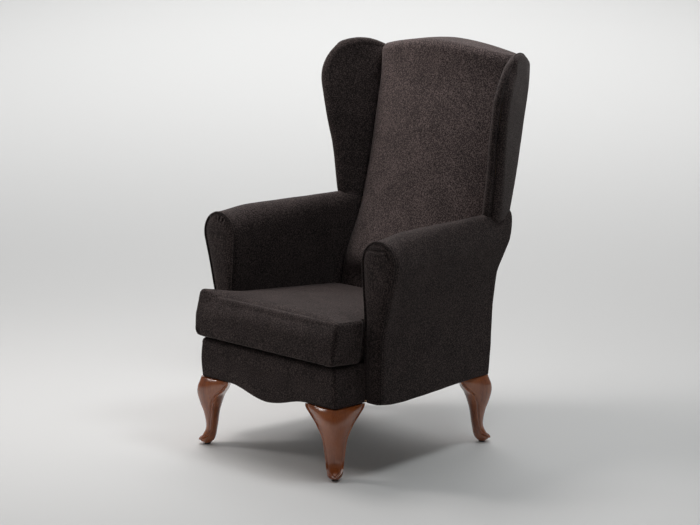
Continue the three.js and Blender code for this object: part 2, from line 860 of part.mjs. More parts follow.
function armFrontPanel(side) {
  const inset = pipingInset + pipingRadius + 2 * clearance;
  const heights = panelHeights(inset, armBottom + panelEdge);
  const rows = heights.length - 1;
  const place = (u, v) => {
    const z = heights[Math.round(u * rows)];
    const [inner, outer] = panelEdges(z, inset);
    return [mix(inner, outer, v), z, (outer - inner) / (2 * armFrontRoll)];
  };
  const front = (u, v) => {
    const [x, z, width] = place(u, v);
    const across = 1 - (2 * v - 1) ** 4;
    const along = 1 - Math.abs(2 * u - 1) ** 6;
    const puff = across * along;
    return point(side * x, armFront + panelEdge * (1 - puff) - panelCrown * puff * width, z);
  };
  const back = (u, v) => {
    const [x, z] = place(u, v);
    return point(side * x, armFront + panelThickness, z);
  };
  return slab(front, back, rows, 6);
}

function armPiping(side) {
  const outline = armSection(0, pipingInset).filter(([, z]) => z > armBottom + pipingRadius);
  const y = armFront + panelThickness - pipingRadius;
  const path = new THREE.CatmullRomCurve3(outline.map(([x, z]) => point(side * x, y, z)));
  return tube(path, pipingRadius, 40, 5);
}

// Scroll-shaped upright behind the front panel, with a wide foot against the seat frame.
function armStump(side) {
  const foot = armBottom + clearance;
  const seat = sideRailOuter + clearance;
  const inset = armPadFront + clearance;
  return loft([clearance, clearance + stumpDepth].map((depth) => {
    const y = armBodyFront + depth;
    const s = armShare(y, foot);
    const outline = [
      [armInnerFoot + inset, stumpFootTop],
      ...armInner(s, inset, armPadFoot, 6),
      ...armRoll(s, inset, 12),
      armOuter(s, coverDrops[0], inset),
      ...coverDrops.slice(1, -2).map((drop) => armOuter(s, drop, coverThickness + 2 * clearance, foot)),
      armOuter(s, 1, coverThickness + armFootCorner, foot),
      [seat, foot],
      [seat, stumpFootTop],
    ];
    return outline.map(([x, z]) => point(side * x, y, z));
  }));
}

function armBaseRail(side) {
  const start = armBodyFront + stumpDepth + 2 * clearance;
  const foot = armBottom + clearance;
  const end = postBack(foot) - clearance;
  const rings = [start, end].map((y) => {
    const outer = mix(armFootFront, armFootRear, armShare(y, foot)) - coverThickness - 2 * clearance;
    const inner = outer - baseRailThickness;
    return [[inner, foot], [outer, foot], [outer, foot + baseRailHeight], [inner, foot + baseRailHeight]]
      .map(([x, z]) => point(side * x, y, z));
  });
  return loft(rings);
}

// Back frame: two posts bent at the seat, an arched crest rail, a lower rail and webbing.

function crestTop(x) {
  return backTop - archDrop(x) - crestCover;
}

function crestRail(grow) {
  const half = backPostOuter + grow;
  const foot = crestFoot + clearance - grow;
  return loft(shares(14).map((t) => {
    const x = mix(-half, half, t);
    const top = crestTop(x) + grow;
    return [
      point(x, postFront(foot) - grow, foot),
      point(x, postBack(foot) + grow, foot),
      point(x, postBack(top) + grow, top),
      point(x, postFront(top) - grow, top),
    ];
  }));
}

function lowerRail() {
  const end = backPostInner - clearance;
  const top = lowerRailFoot + lowerRailHeight;
  return loft([-end, end].map((x) => [
    point(x, postFront(lowerRailFoot), lowerRailFoot),
    point(x, postFront(lowerRailFoot) + railThickness, lowerRailFoot),
    point(x, postFront(top) + railThickness, top),
    point(x, postFront(top), top),
  ]));
}

function webStrap(z) {
  const surface = (out) => (u, v) => {
    const at = z + webWidth * (u - 0.5);
    return point(mix(-webHalfLength, webHalfLength, v), postFront(at) - clearance - out, at);
  };
  return slab(surface(webThickness), surface(0), 4, 1);
}

function backCrown(x, z) {
  const rise = smooth(z, backCrownFrom, backCrownTo);
  const size = mix(backCrownLow, backCrownHigh, smooth(z, backCrownTo, backTop));
  const across = Math.abs(x / backPadHalfWidth);
  return size * rise * (1 - across ** 2.6);
}

// Inner back: a crowned pad in front of the webbing that turns over the crest rail.
function backPadShape(grow) {
  const stations = [-1, -0.985, -0.93, -0.8, -0.6, -0.38, -0.18, 0, 0.18, 0.38, 0.6, 0.8, 0.93, 0.985, 1];
  const half = backPadHalfWidth + grow;
  return loft(stations.map((share) => {
    const x = share * half;
    const edge = backPadSideEdge * smooth(Math.abs(share), 0.93, 1) ** 2;
    const top = backTop - archDrop(x) - edge + grow;
    const rear = backLine(backTop) + grow;
    const roundAt = top - backTopRound;
    const front = (z) => innerLine(z) - backCrown(x, z) + edge - grow;
    const face = shares(13).map((t) => mix(backPadFoot - grow, roundAt, t));
    const behind = (z) => postFront(z) - webThickness - clearance - webPlay + grow;
    const ring = face.map((z) => [front(z), z]);
    for (const t of shares(3).slice(1)) {
      const angle = (Math.PI / 2) * t;
      ring.push([
        front(roundAt) + backTopRound * (1 - Math.cos(angle)),
        roundAt + backTopRound * Math.sin(angle),
      ]);
    }
    const seat = crestTop(x) + crestPlay - grow;
    const lipFoot = backTop - archDrop(x) - backLip;
    ring.push([rear - backTopEdge, top], [rear, top - backTopEdge], [rear, lipFoot]);
    ring.push([rear - coverThickness, lipFoot], [rear - coverThickness, seat]);
    ring.push([behind(seat), seat]);
    for (const t of shares(11).slice(1)) {
      const z = mix(seat, backPadFoot - grow, t);
      ring.push([behind(z), z]);
    }
    return ring.map(([y, z]) => point(x, y, z));
  }));
}

// The outer face of the wings at the back.
const wingOuterRear = backPostOuter + 4 * clearance + wingBoardThickness + wingCoverThickness;

// Outside back: one cloth panel from under the seat to the lip of the inner back.
function backCoverHalf(z) {
  const drop = clamp((armTop - z) / (armTop - armBottom), 0, 1);
  return Math.min(armOuter(1, drop, 0)[0], wingOuterRear) - coverThickness / 2;
}

function outsideBackCover() {
  const surface = (out) => (u, v) => {
    const across = 2 * v - 1;
    const top = backTop - archDrop(across * wingOuterRear) - backLip - 3 * crestPlay;
    const z = mix(armBottom, top, u);
    return point(across * backCoverHalf(z), backLine(z) - out, z);
  };
  return slab(surface(0), surface(coverThickness - clearance), 18, 12);
}

add("outside_back_cover", outsideBackCover(), cloth);
for (const [name, side] of sides) {
  add(`arm_pad_${name}`, armPad(side), cloth);
  add(`arm_outside_cover_${name}`, armOutsideCover(side), cloth);
  add(`arm_front_panel_${name}`, armFrontPanel(side), cloth);
  add(`arm_piping_${name}`, armPiping(side), darkCloth);
  add(`arm_stump_${name}`, armStump(side), beech);
  add(`arm_base_rail_${name}`, armBaseRail(side), beech);
  add(`arm_top_rail_${name}`, armTopRail(side, 0), beech);
  add(`back_post_${name}`, backPost(side, 0, crestFoot), beech);
}
add("crest_rail", crestRail(0), beech);
add("back_lower_rail", lowerRail(), beech);
shares(webCount - 1).forEach((share, i) => {
  add(`back_web_${i + 1}`, webStrap(webLowest + share * webSpan), jute);
});
add("inner_back_pad", backPadShape(0), cloth);

// Wings. Each is a plywood board beside the back post, flared outwards, with a fat roll round its
// front and top edge. Its surfaces are ruled from the roll's edge to a line at the back.
const wingReachShares = [0.095, 0.07, 0.06, 0.02, 0, 0.01, 0.085, 0.22, 0.385, 0.585, 0.81, 0.98];
const wingRiseShares = [-0.061, 0, 0.308, 0.481, 0.655, 0.776, 0.866, 0.941, 0.986, 1, 0.982, 0.946];
const wingFlareShare = 0.78;
const wingEdge = new THREE.CatmullRomCurve3(wingReachShares.map((share, i) => point(
  0,
  postBack(wingTop) - wingReach * (1 - share),
  mix(wingSeam, wingTop, wingRiseShares[i]),
)));

function wingOuterX(y, z) {
  const rise = clamp((z - wingSeam) / (wingTop - wingSeam) / wingFlareShare, 0, 1);
  const flare = THREE.MathUtils.degToRad(mix(wingFlareLow, wingFlareHigh, rise));
  return wingOuterRear + Math.tan(flare) * Math.max(postBack(z) - y, 0);
}

function wingRollRadius(u) {
  return mix(wingRoll, wingRollTop, smooth(u, 0.55, 0.8));
}

// A place on the ruled line at share u, a distance in from the edge, or a share of it past the roll.
function wingPlace(u, rearLine, distance) {
  const edge = wingEdge.getPointAt(clamp(u, 0, 1));
  const z = mix(wingFoot, wingRearTop, u);
  const rear = point(0, rearLine(z), z);
  return edge.lerp(rear, distance(edge.distanceTo(rear)));
}

function wingSurface(side, rearLine, columns, depth) {
  return (u, v) => {
    const radius = wingRollRadius(u);
    let inward = 0;
    const at = wingPlace(u, rearLine, (length) => {
      inward = columns(radius, length)[Math.round(v * wingColumns)];
      return inward / length;
    });
    return point(side * depth(u, at, inward, radius), at.y, at.z);
  };
}

const wingColumns = 8;
const rollShares = [0, 0.1, 0.35, 0.7, 1];
const rearRun = (z) => postBack(z) - clearance;
const innerRun = (z) => innerLine(z) + wingInnerTuck;

function wingRollDepth(inward, radius) {
  return Math.sqrt(Math.max(radius ** 2 - Math.max(radius - inward, 0) ** 2, 0));
}

function wingEnvelope(side) {
  const centre = (at, radius) => wingOuterX(at.y, at.z) + wingProud - radius;
  const outerColumns = (radius, length) => [
    ...rollShares.map((share) => share * radius),
    mix(radius, wingWrap, 0.5),
    wingWrap - clearance,
    wingWrap,
    length,
  ];
  const innerColumns = (radius, length) => [
    ...rollShares.map((share) => share * radius),
    ...shares(4).slice(1).map((share) => mix(radius, length, share)),
  ];
  const outer = wingSurface(side, rearRun, outerColumns, (u, at, inward, radius) => {
    const face = wingOuterX(at.y, at.z);
    if (inward <= radius) return centre(at, radius) + wingRollDepth(inward, radius);
    if (inward < wingWrap) return face + wingProud * (1 - smooth(inward, radius, wingWrap));
    return face - wingCoverThickness - 3 * clearance - wingBoardThickness / 2;
  });
  const inner = wingSurface(side, innerRun, innerColumns, (u, at, inward, radius) => {
    if (inward <= radius) return centre(at, radius) - wingRollDepth(inward, radius);
    let run = 0;
    const start = wingPlace(u, innerRun, (length) => {
      run = (inward - radius) / (length - radius);
      return radius / length;
    });
    return mix(centre(start, radius) - radius, wingInnerRear, run);
  });
  return slab(outer, inner, 22, wingColumns);
}

function wingSheet(side, from, top, rear, inner, outer, rows, columns) {
  const surface = (depth) => (u, v) => {
    const at = wingPlace(u * top, rear, (length) => mix(from / length, 1, v));
    return point(side * (wingOuterX(at.y, at.z) + depth(u, v)), at.y, at.z);
  };
  return slab(surface(outer), surface(inner), rows, columns);
}

function wingBoard(side, grow) {
  const outer = -wingCoverThickness - 3 * clearance;
  const rear = (z) => rearRun(z) + 2 * grow;
  const sheet = wingSheet(
    side,
    wingBoardInset - grow,
    grow > 0 ? wingBoardTopShare + wingBoardPlayShare : wingBoardTopShare,
    rear,
    () => outer - wingBoardThickness - grow,
    () => outer + grow,
    14,
    3,
  );
  return sheet;
}

const wingBoardTopShare = 0.93;
const wingBoardPlayShare = 0.003;

function wingCover(side) {
  const crown = (u, v) => wingCoverCrown * Math.sin(Math.PI * v) * Math.sin(Math.PI * u) ** 0.5;
  return without(wingSheet(
    side,
    wingWrap + wingCoverPlay,
    1,
    rearRun,
    () => -wingCoverThickness,
    crown,
    14,
    4,
  ), [armBody(side, clearance)]);
}

for (const [name, side] of sides) {
  const armSpace = armBody(side, clearance);
  add(`wing_pad_${name}`, without(wingEnvelope(side), [
    armSpace,
    wingBoard(side, clearance),
    backPost(side, clearance, crestFoot),
    crestRail(clearance),
  ]), cloth);
  add(`wing_board_${name}`, without(wingBoard(side, 0), [armSpace]), plywood);
  add(`wing_outside_cover_${name}`, wingCover(side), cloth);
}

// Seat cushion: a boxed cover over a foam core, in the sloped frame of the deck. It overhangs the
// front, is wider in front of the arms, and is crowned on top with drawn-in seams.
const cushionFront = -cushionOverhang;
const cushionRear = cushionLength - cushionOverhang;
const cushionMiddle = mix(cushionFront, cushionRear, 0.5);

function cushionHalf(v) {
  const narrow = smooth(v, cushionFrontLength, cushionFrontLength + cushionFlareLength);
  return mix(cushionFrontHalfWidth, cushionHalfWidth, narrow);
}

function cushionPlan() {
  const corner = cushionCorner;
  const half = [];
  const rearReach = cushionHalfWidth - corner;
  const frontReach = cushionFrontHalfWidth - corner;
  for (const t of shares(4).slice(0, -1)) half.push([rearReach * t, cushionRear]);
  for (const t of shares(3)) {
    const angle = (Math.PI / 2) * (1 - t);
    half.push([rearReach + corner * Math.cos(angle), cushionRear - corner + corner * Math.sin(angle)]);
  }
  const flareEnd = cushionFrontLength + cushionFlareLength;
  for (const t of shares(4).slice(1)) half.push([cushionHalfWidth, mix(cushionRear - corner, flareEnd, t)]);
  for (const t of shares(4).slice(1)) {
    const v = mix(flareEnd, cushionFrontLength, t);
    half.push([cushionHalf(v), v]);
  }
  for (const t of shares(3)) {
    const angle = (Math.PI / 2) * t;
    half.push([frontReach + corner * Math.cos(angle), cushionFront + corner - corner * Math.sin(angle)]);
  }
  for (const t of shares(4).slice(1)) half.push([frontReach * (1 - t), cushionFront]);
  return [...half, ...half.slice(1, -1).reverse().map(([x, v]) => [-x, v])];
}

// Rings of the cushion's form: share up the side, or share in from the edge over the top.
function cushionForm(shrink, sideShares, topShares) {
  const plan = cushionPlan();
  const low = shrink;
  const high = cushionThickness - shrink;
  const halfLength = cushionLength / 2;
  const ring = (inset, w, share) => plan.map(([x, v]) => {
    const reach = share * (1 - (inset + shrink) / cushionHalfWidth);
    const run = share * (1 - (inset + shrink) / halfLength);
    const along = cushionMiddle + (v - cushionMiddle) * run;
    const front = clamp((cushionMiddle - along) / halfLength, 0, 1) ** 3;
    return point(x * reach, along + cushionFrontLean * front * (w / cushionThickness), w);
  });
  const seam = cushionSideCrown;
  const turn = cushionEdge * 0.3;
  const rings = [ring(seam + cushionEdge, low, 1), ring(seam + turn, low + turn, 1)];
  for (const t of sideShares) rings.push(ring(seam * (1 - Math.sin(Math.PI * t)), mix(low, high, t), 1));
  rings.push(ring(seam + turn, high - turn, 1), ring(seam + cushionEdge, high, 1));
  for (const t of topShares) rings.push(ring(seam + cushionEdge, high + cushionCrown * (1 - t * t), t));
  return loft(rings);
}

function cushionCoverShell() {
  const outer = cushionForm(0, [0.15, 0.35, 0.5, 0.65, 0.85], [0.9, 0.72, 0.5, 0.25]);
  const inner = cushionForm(cushionCover, [0.2, 0.5, 0.8], [0.72, 0.25]);
  const half = zipSlot / 2;
  const middle = cushionThickness / 2;
  const deep = cushionRear - cushionCover - overrun;
  const out = cushionRear + overrun;
  const slot = box(-zipHalfLength, zipHalfLength, deep, out, middle - half, middle + half);
  return without(outer, [inner, slot]);
}

function zipTape() {
  const half = zipSlot / 2 - clearance;
  const long = zipHalfLength - clearance;
  const middle = cushionThickness / 2;
  const back = cushionRear - cushionCover;
  return box(-long, long, back + clearance / 2, back + zipThickness, middle - half, middle + half);
}

// The slider that closes the zip, with a short pull.
function zipSlider() {
  const middle = cushionThickness / 2;
  const front = cushionRear - cushionCover + zipThickness + clearance;
  const half = sliderLength / 2;
  const outline = [
    [-half, -sliderHalf], [half * 0.6, -sliderHalf], [half, -sliderHalf * 0.4],
    [half, sliderHalf * 0.4], [half * 0.6, sliderHalf], [-half, sliderHalf],
  ];
  return loft([front, front + sliderThickness].map((v) => outline.map(([x, w]) => {
    return point(x - zipHalfLength + sliderLength, v, middle + w);
  })));
}

add("cushion_cover", cushionCoverShell(), cloth, cushion);
add("cushion_core", cushionForm(cushionCover + clearance, [0.2, 0.5, 0.8], [0.72, 0.25]), foam, cushion);
add("cushion_zip", zipTape(), blackCloth, cushion);
add("zip_slider", zipSlider(), steel, cushion);

// Dust cover under the frame, cut back at the legs.
function dustCover() {
  const cut = legTopCut * Math.SQRT2 + 2 * clearance;
  const half = baseHalfWidth - dustInset;
  const front = frontRailBack + clearance;
  const rear = backRailBack;
  const frontX = baseHalfWidth - (cut - (front + frontToMiddle));
  const frontY = -frontToMiddle + cut - (baseHalfWidth - half);
  const rearX = rearHalfWidth - (cut - (rearFoot - rear));
  const rearY = rearFoot - (cut - (rearHalfWidth - half));
  const right = [[frontX, front], [half, frontY], [half, rearY], [rearX, rear]];
  const outline = [...right, ...right.map(([x, y]) => [-x, y]).reverse()];
  const low = legHeight - dustThickness;
  return loft([low, legHeight].map((z) => outline.map(([x, y]) => point(x, y, z))));
}

add("dust_cover", dustCover(), blackCloth);

export default chair;
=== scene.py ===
# A wingback armchair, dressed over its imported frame: glossy cabriole legs, short-pile cloth over
# padding, scroll arms, a loose boxed cushion and two flared wings. Metres, +Z up, -Y is the front.
import math

import bmesh
import bpy
import numpy as np
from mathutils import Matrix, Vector, noise
from mathutils.bvhtree import BVHTree
from mathutils.kdtree import KDTree


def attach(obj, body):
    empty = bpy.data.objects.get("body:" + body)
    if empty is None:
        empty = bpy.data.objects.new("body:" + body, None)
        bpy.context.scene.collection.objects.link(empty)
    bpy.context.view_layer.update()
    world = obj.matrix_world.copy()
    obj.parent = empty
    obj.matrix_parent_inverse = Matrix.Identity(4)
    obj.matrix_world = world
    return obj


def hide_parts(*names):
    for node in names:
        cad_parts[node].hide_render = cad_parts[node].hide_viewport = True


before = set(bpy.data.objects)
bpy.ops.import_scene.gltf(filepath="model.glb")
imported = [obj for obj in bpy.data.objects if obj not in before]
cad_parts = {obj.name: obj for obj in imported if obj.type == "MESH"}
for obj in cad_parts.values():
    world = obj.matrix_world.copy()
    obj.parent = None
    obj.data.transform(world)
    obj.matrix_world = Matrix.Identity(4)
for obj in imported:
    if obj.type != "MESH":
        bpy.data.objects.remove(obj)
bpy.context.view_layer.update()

# Studio: a round pale floor that bends up into a wall far off, softboxes above the chair, at its
# front left and at its right, a broad soft light from above and a large lamp hung far behind.
CAMERA_AZIMUTH = math.radians(45.3)
CAMERA_HEIGHT_ANGLE = math.radians(11.3)
CAMERA_DISTANCE = 6.499
CAMERA_TARGET = Vector((-0.078, 0.032, 0.481))
CAMERA_LENS_MM = 119.9
CAMERA_SENSOR_MM = 36
CAMERA_REACH = 200
FLOOR_RINGS = (0.001, 4, 9)
FLOOR_STEPS = 96
FLOOR_FLAT_RADIUS = 16
FLOOR_BEND = 7
FLOOR_WALL_HEIGHT = 16
FLOOR_COLOUR = (0.62, 0.62, 0.615, 1)
FLOOR_GLOW = 0.03
LIT_POINT = Vector((0, -0.1, 0.55))
WARM = (1, 0.965, 0.95)
COOL = (0.93, 0.98, 1)
# Each softbox: its place, its two sides, its strength in watts and its colour.
SOFTBOXES = {
    "overhead": ((-0.7, -0.2, 2.0), (0.6, 0.6), 14.5, WARM),
    "front_left": ((-1.75, -1.35, 1.75), (0.5, 0.5), 14.0, WARM),
    "right": ((0.75, 0.15, 2.3), (0.5, 0.5), 11.0, COOL),
}
TOP_LIGHT_PLACE = Vector((0, 0, 5))
TOP_SUN_STRENGTH = 0.52
TOP_SUN_SPREAD = math.radians(45)
BACKDROP_PLACE = Vector((-7.5, 7.5, 6))
BACKDROP_SIZE = (7, 16)
BACKDROP_STRENGTH = 900
SKY_COLOUR = (1, 0.99, 0.98, 1)
SKY_STRENGTH = 0.01
WHITE = (1, 1, 1)
DOWN = Vector((0, 0, -1))


def direction(azimuth, height_angle):
    flat = math.cos(height_angle)
    return Vector((math.sin(azimuth) * flat, -math.cos(azimuth) * flat, math.sin(height_angle)))


def put(name, data, place, towards):
    """An object at a place, looking at a point."""
    thing = bpy.data.objects.new(name, data)
    thing.location = place
    thing.rotation_euler = (towards - thing.location).to_track_quat("-Z", "Y").to_euler()
    bpy.context.scene.collection.objects.link(thing)
    return thing


def softbox(name, place, size, strength, colour, towards):
    data = bpy.data.lights.new(name, "AREA")
    data.shape = "RECTANGLE"
    data.size, data.size_y = size
    data.energy = strength
    data.color = colour
    return put(name, data, place, towards)


camera_data = bpy.data.cameras.new("camera")
camera_data.lens = CAMERA_LENS_MM
camera_data.sensor_width = CAMERA_SENSOR_MM
camera_data.clip_end = CAMERA_REACH
camera_place = CAMERA_TARGET + CAMERA_DISTANCE * direction(CAMERA_AZIMUTH, CAMERA_HEIGHT_ANGLE)
bpy.context.scene.camera = put("camera", camera_data, camera_place, CAMERA_TARGET)
for name, (place, size, strength, colour) in SOFTBOXES.items():
    softbox(name, place, size, strength, colour, LIT_POINT)
backdrop = softbox(
    "backdrop", BACKDROP_PLACE, BACKDROP_SIZE, BACKDROP_STRENGTH, WHITE, BACKDROP_PLACE + DOWN
)
backdrop.rotation_euler = (0, 0, CAMERA_AZIMUTH)
top_data = bpy.data.lights.new("top_light", "SUN")
top_data.energy = TOP_SUN_STRENGTH
top_data.angle = TOP_SUN_SPREAD
put("top_light", top_data, TOP_LIGHT_PLACE, TOP_LIGHT_PLACE + DOWN)

bpy.context.scene.view_settings.view_transform = "Standard"
sky = bpy.data.worlds.new("studio")
bpy.context.scene.world = sky
sky.use_nodes = True
sky.node_tree.nodes["Background"].inputs["Color"].default_value = SKY_COLOUR
sky.node_tree.nodes["Background"].inputs["Strength"].default_value = SKY_STRENGTH


class Finish:
    """A procedural material being put together: its shader and short ways to add nodes."""

    def __init__(self, name, roughness, **sockets):
        self.material = bpy.data.materials.new(name)
        self.material.use_nodes = True
        self.tree = self.material.node_tree
        self.shader = self.filled(self.tree.nodes["Principled BSDF"], Roughness=roughness, **sockets)
        self.place = self.add("ShaderNodeTexCoord").outputs["Object"]

    def filled(self, node, **sockets):
        for name, value in sockets.items():
            node.inputs[name.replace("_", " ")].default_value = value
        return node

    def add(self, kind, **sockets):
        return self.filled(self.tree.nodes.new(kind), **sockets)

    def link(self, source, target):
        self.tree.links.new(source, target)

    def texture(self, kind, place=None, **sockets):
        node = self.add(kind, **sockets)
        self.link(place or self.place, node.inputs["Vector"])
        return node

    def noise(self, scale, detail=2, roughness=0.5, distortion=0, along=(1, 1, 1)):
        stretched = self.texture("ShaderNodeMapping", Scale=along).outputs["Vector"]
        return self.texture(
            "ShaderNodeTexNoise", stretched,
            Scale=scale, Detail=detail, Roughness=roughness, Distortion=distortion,
        ).outputs["Fac"]

    def maths(self, kind, one, other):
        node = self.add("ShaderNodeMath")
        node.operation = kind
        for source, socket in zip((one, other), node.inputs):
            if isinstance(source, (float, int)):
                socket.default_value = source
            else:
                self.link(source, socket)
        return node.outputs[0]

    def blended(self, *parts):
        """The sum of some sources, each times its share."""
        products = [self.maths("MULTIPLY", source, share) for source, share in parts]
        total = products[0]
        for product in products[1:]:
            total = self.maths("ADD", total, product)
        return total

    def done(self, tone, stops, height, distance, strength):
        """The material, coloured by stops along a tone and given the relief of a height."""
        colours = self.add("ShaderNodeValToRGB")
        elements = colours.color_ramp.elements
        elements[0].position = stops[0][0]
        elements[-1].position = stops[-1][0]
        for place, _ in stops[1:-1]:
            elements.new(place)
        for element, (_, colour) in zip(elements, stops):
            element.color = (*colour, 1)
        self.link(tone, colours.inputs["Fac"])
        self.link(colours.outputs["Color"], self.shader.inputs["Base Color"])
        relief = self.add("ShaderNodeBump", Distance=distance, Strength=strength)
        self.link(height, relief.inputs["Height"])
        self.link(relief.outputs["Normal"], self.shader.inputs["Normal"])
        return self.material


def shares(count):
    return [i / count for i in range(count + 1)]


def quarter(count):
    """The sine, and one less the cosine, at even steps of a quarter turn."""
    return [(math.sin(t * math.pi / 2), 1 - math.cos(t * math.pi / 2)) for t in shares(count)]


def finished(name, points, faces, material, sharp_angle=40):
    """A smooth-shaded piece whose faces all look out, with only real edges kept sharp."""
    mesh = bpy.data.meshes.new(name)
    mesh.from_pydata([tuple(p) for p in points], [], faces)
    work = bmesh.new()
    work.from_mesh(mesh)
    bmesh.ops.remove_doubles(work, verts=work.verts, dist=0.00001)
    bmesh.ops.recalc_face_normals(work, faces=work.faces)
    work.to_mesh(mesh)
    work.free()
    mesh.materials.append(material)
    mesh.shade_smooth()
    mesh.set_sharp_from_angle(angle=math.radians(sharp_angle))
    piece = bpy.data.objects.new(name, mesh)
    bpy.context.scene.collection.objects.link(piece)
    return piece


def ring_faces(ring_count, size):
    faces = []
    for k in range(ring_count - 1):
        for i in range(size):
            following = (i + 1) % size
            low, high = k * size, (k + 1) * size
            faces.append((low + i, low + following, high + following, high + i))
    return faces


def swept_floor():
    """Places on the floor's rings and its wall, and its faces."""
    profile = [(radius, 0) for radius in FLOOR_RINGS]
    profile += [(FLOOR_FLAT_RADIUS + FLOOR_BEND * out, FLOOR_BEND * up) for out, up in quarter(12)]
    profile.append((FLOOR_FLAT_RADIUS + FLOOR_BEND, FLOOR_WALL_HEIGHT))
    points = []
    for radius, height in profile:
        for k in range(FLOOR_STEPS):
            turn = 2 * math.pi * k / FLOOR_STEPS
            points.append((radius * math.cos(turn), radius * math.sin(turn), height))
    return points, [*ring_faces(len(profile), FLOOR_STEPS), tuple(range(FLOOR_STEPS))]


floor_paint = Finish(
    "studio_floor", 0.9, Base_Color=FLOOR_COLOUR, Specular_IOR_Level=0.1,
    Emission_Color=(*WHITE, 1), Emission_Strength=FLOOR_GLOW,
)
finished("floor", *swept_floor(), floor_paint.material)

# Hardwood frame: rails, posts, stumps and corner blocks, sawn from beech and glued and screwed.
# The padding hides nearly all of it, so the frame's own solids stay and take a sawn finish.
BEECH_NODES = [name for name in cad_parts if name.startswith((
    "front_rail", "back_rail", "side_rail", "corner_block", "arm_stump", "arm_base_rail",
    "arm_top_rail", "back_post", "crest_rail", "back_lower_rail",
))]


def timber(name, dark, light, grain_size, roughness):
    """Sawn wood: long grain lines with a few darker flecks."""
    finish = Finish(name, roughness)
    grain = finish.noise(grain_size, 6, 0.6, 0.6, (1, 1, 0.08))
    fleck = finish.noise(grain_size * 6, 2, 0.5, 0, (1, 1, 0.12))
    tone = finish.blended((grain, 0.75), (fleck, 0.25))
    return finish.done(tone, [(0.36, dark), (0.64, light)], fleck, 0.0004, 0.35)


def dress(names, material):
    """The frame's own solids take a finish."""
    for name in names:
        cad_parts[name].material_slots[0].material = material


dress(BEECH_NODES, timber("beech", (0.42, 0.25, 0.12), (0.66, 0.45, 0.25), 40, 0.6))

# Wing boards: two plywood boards screwed to the outside of the back posts.
# Their faces show the peeled veneer's broad grain.
dress(
    ["wing_board_left", "wing_board_right"],
    timber("plywood", (0.40, 0.27, 0.15), (0.62, 0.45, 0.27), 22, 0.7),
)

# Springs and bolts: four zigzag wires clipped between the rails and a hanger bolt in each leg.
# Both are drawn steel wire or rod, dull from oil.
STEEL_NODES = [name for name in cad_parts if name.startswith(("seat_spring", "leg_bolt"))]


def drawn_steel():
    finish = Finish("drawn_steel", 0.38, Metallic=1)
    streak = finish.noise(900, 2, 0.5, 0, (1, 0.06, 1))
    stops = [(0.3, (0.30, 0.31, 0.33)), (0.7, (0.52, 0.53, 0.54))]
    return finish.done(streak, stops, streak, 0.0001, 0.4)


dress(STEEL_NODES, drawn_steel())

# Back webbing: three jute straps stretched across the back frame and tacked to the posts.
# They carry the inner back's padding and are woven of coarse yarn.


def jute_weave():
    finish = Finish("jute", 0.95)
    waves = []
    for axis in ("X", "Z"):
        wave = finish.texture("ShaderNodeTexWave", Scale=90, Distortion=1.2, Detail=1)
        wave.bands_direction = axis
        waves.append(wave.outputs["Fac"])
    weave = finish.maths("MULTIPLY", *waves)
    stops = [(0.1, (0.16, 0.10, 0.05)), (0.8, (0.42, 0.30, 0.17))]
    return finish.done(weave, stops, weave, 0.0008, 0.7)


dress([f"back_web_{i}" for i in (1, 2, 3)], jute_weave())

# Glides: four round nylon discs pinned under the feet.
# They are moulded black and scuffed matt on the floor side.


def grey(value):
    return (value, value, value)


def moulded_nylon():
    finish = Finish("nylon", 0.5)
    scuff = finish.noise(300, 3, 0.6)
    return finish.done(scuff, [(0.35, grey(0.012)), (0.75, grey(0.05))], scuff, 0.0002, 0.3)


dress([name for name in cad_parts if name.startswith("glide")], moulded_nylon())

# Legs: four cabriole legs, bandsawn and carved from solid wood, stained reddish brown and
# lacquered. A raised bead runs down both edges of each knee and meets round the toe.
LEG_HEIGHT = 0.192
LEG_EAR = 0.079
GLIDE_HEIGHT = 0.004
FRONT_HALF_WIDTH = 0.2625
REAR_HALF_WIDTH = 0.277
FRONT_LINE = -0.361
REAR_FOOT_LINE = 0.216
LEG_LEVELS = (0.02, 0.065, 0.13, 0.216, 0.308, 0.486, 0.589, 0.751, 0.854, 0.95, 1)
RIDGE_OUT = (-0.066, 0.085, -0.026, -0.131, -0.151, -0.066, 0.026, 0.131, 0.125, 0.035, 0)
EAR_OUT = (-0.157, -0.105, -0.197, -0.341, -0.38, -0.432, -0.445, -0.576, -0.812, -0.97, -1)
EAR_ACROSS = (0.144, 0.236, 0.275, 0.301, 0.328, 0.386, 0.432, 0.616, 0.8, 0.965, 1)
HEEL_OUT = (-0.314, -0.432, -0.498, -0.537, -0.576, -0.642, -0.707, -0.852, -1, -1.05, -1.063)
KNEE_SWELL = (0.03, 0.045, 0.05, 0.05, 0.05, 0.055, 0.07, 0.095, 0.10, 0.075, 0.01)
KNEE_FULLNESS = 0.7
FLANK_HOLLOW = 0.10
RIDGE_ROUNDING = 0.14
BEAD_HEIGHT = 0.0024
BEAD_REACH = 0.0032 * 0.6
BEAD_GROOVE = 0.0022
BEAD_FROM_EDGE = 0.0035
BEAD_STARTS = (0.035, 0.06)
BEAD_MEETS = (0.05, 0.17)
GROOVE_PLACE = 1.7 * 0.0032
WALNUT_DARK = (0.165, 0.038, 0.009)
WALNUT_MIDDLE = (0.280, 0.072, 0.017)
WALNUT_LIGHT = (0.350, 0.102, 0.027)
LEFT_AND_RIGHT = (("left", -1), ("right", 1))


def mix(one, other, share):
    return one + (other - one) * share


def clamp(value, low=0.0, high=1.0):
    return min(max(value, low), high)


def smooth(value, low, high):
    share = clamp((value - low) / (high - low))
    return share * share * (3 - 2 * share)


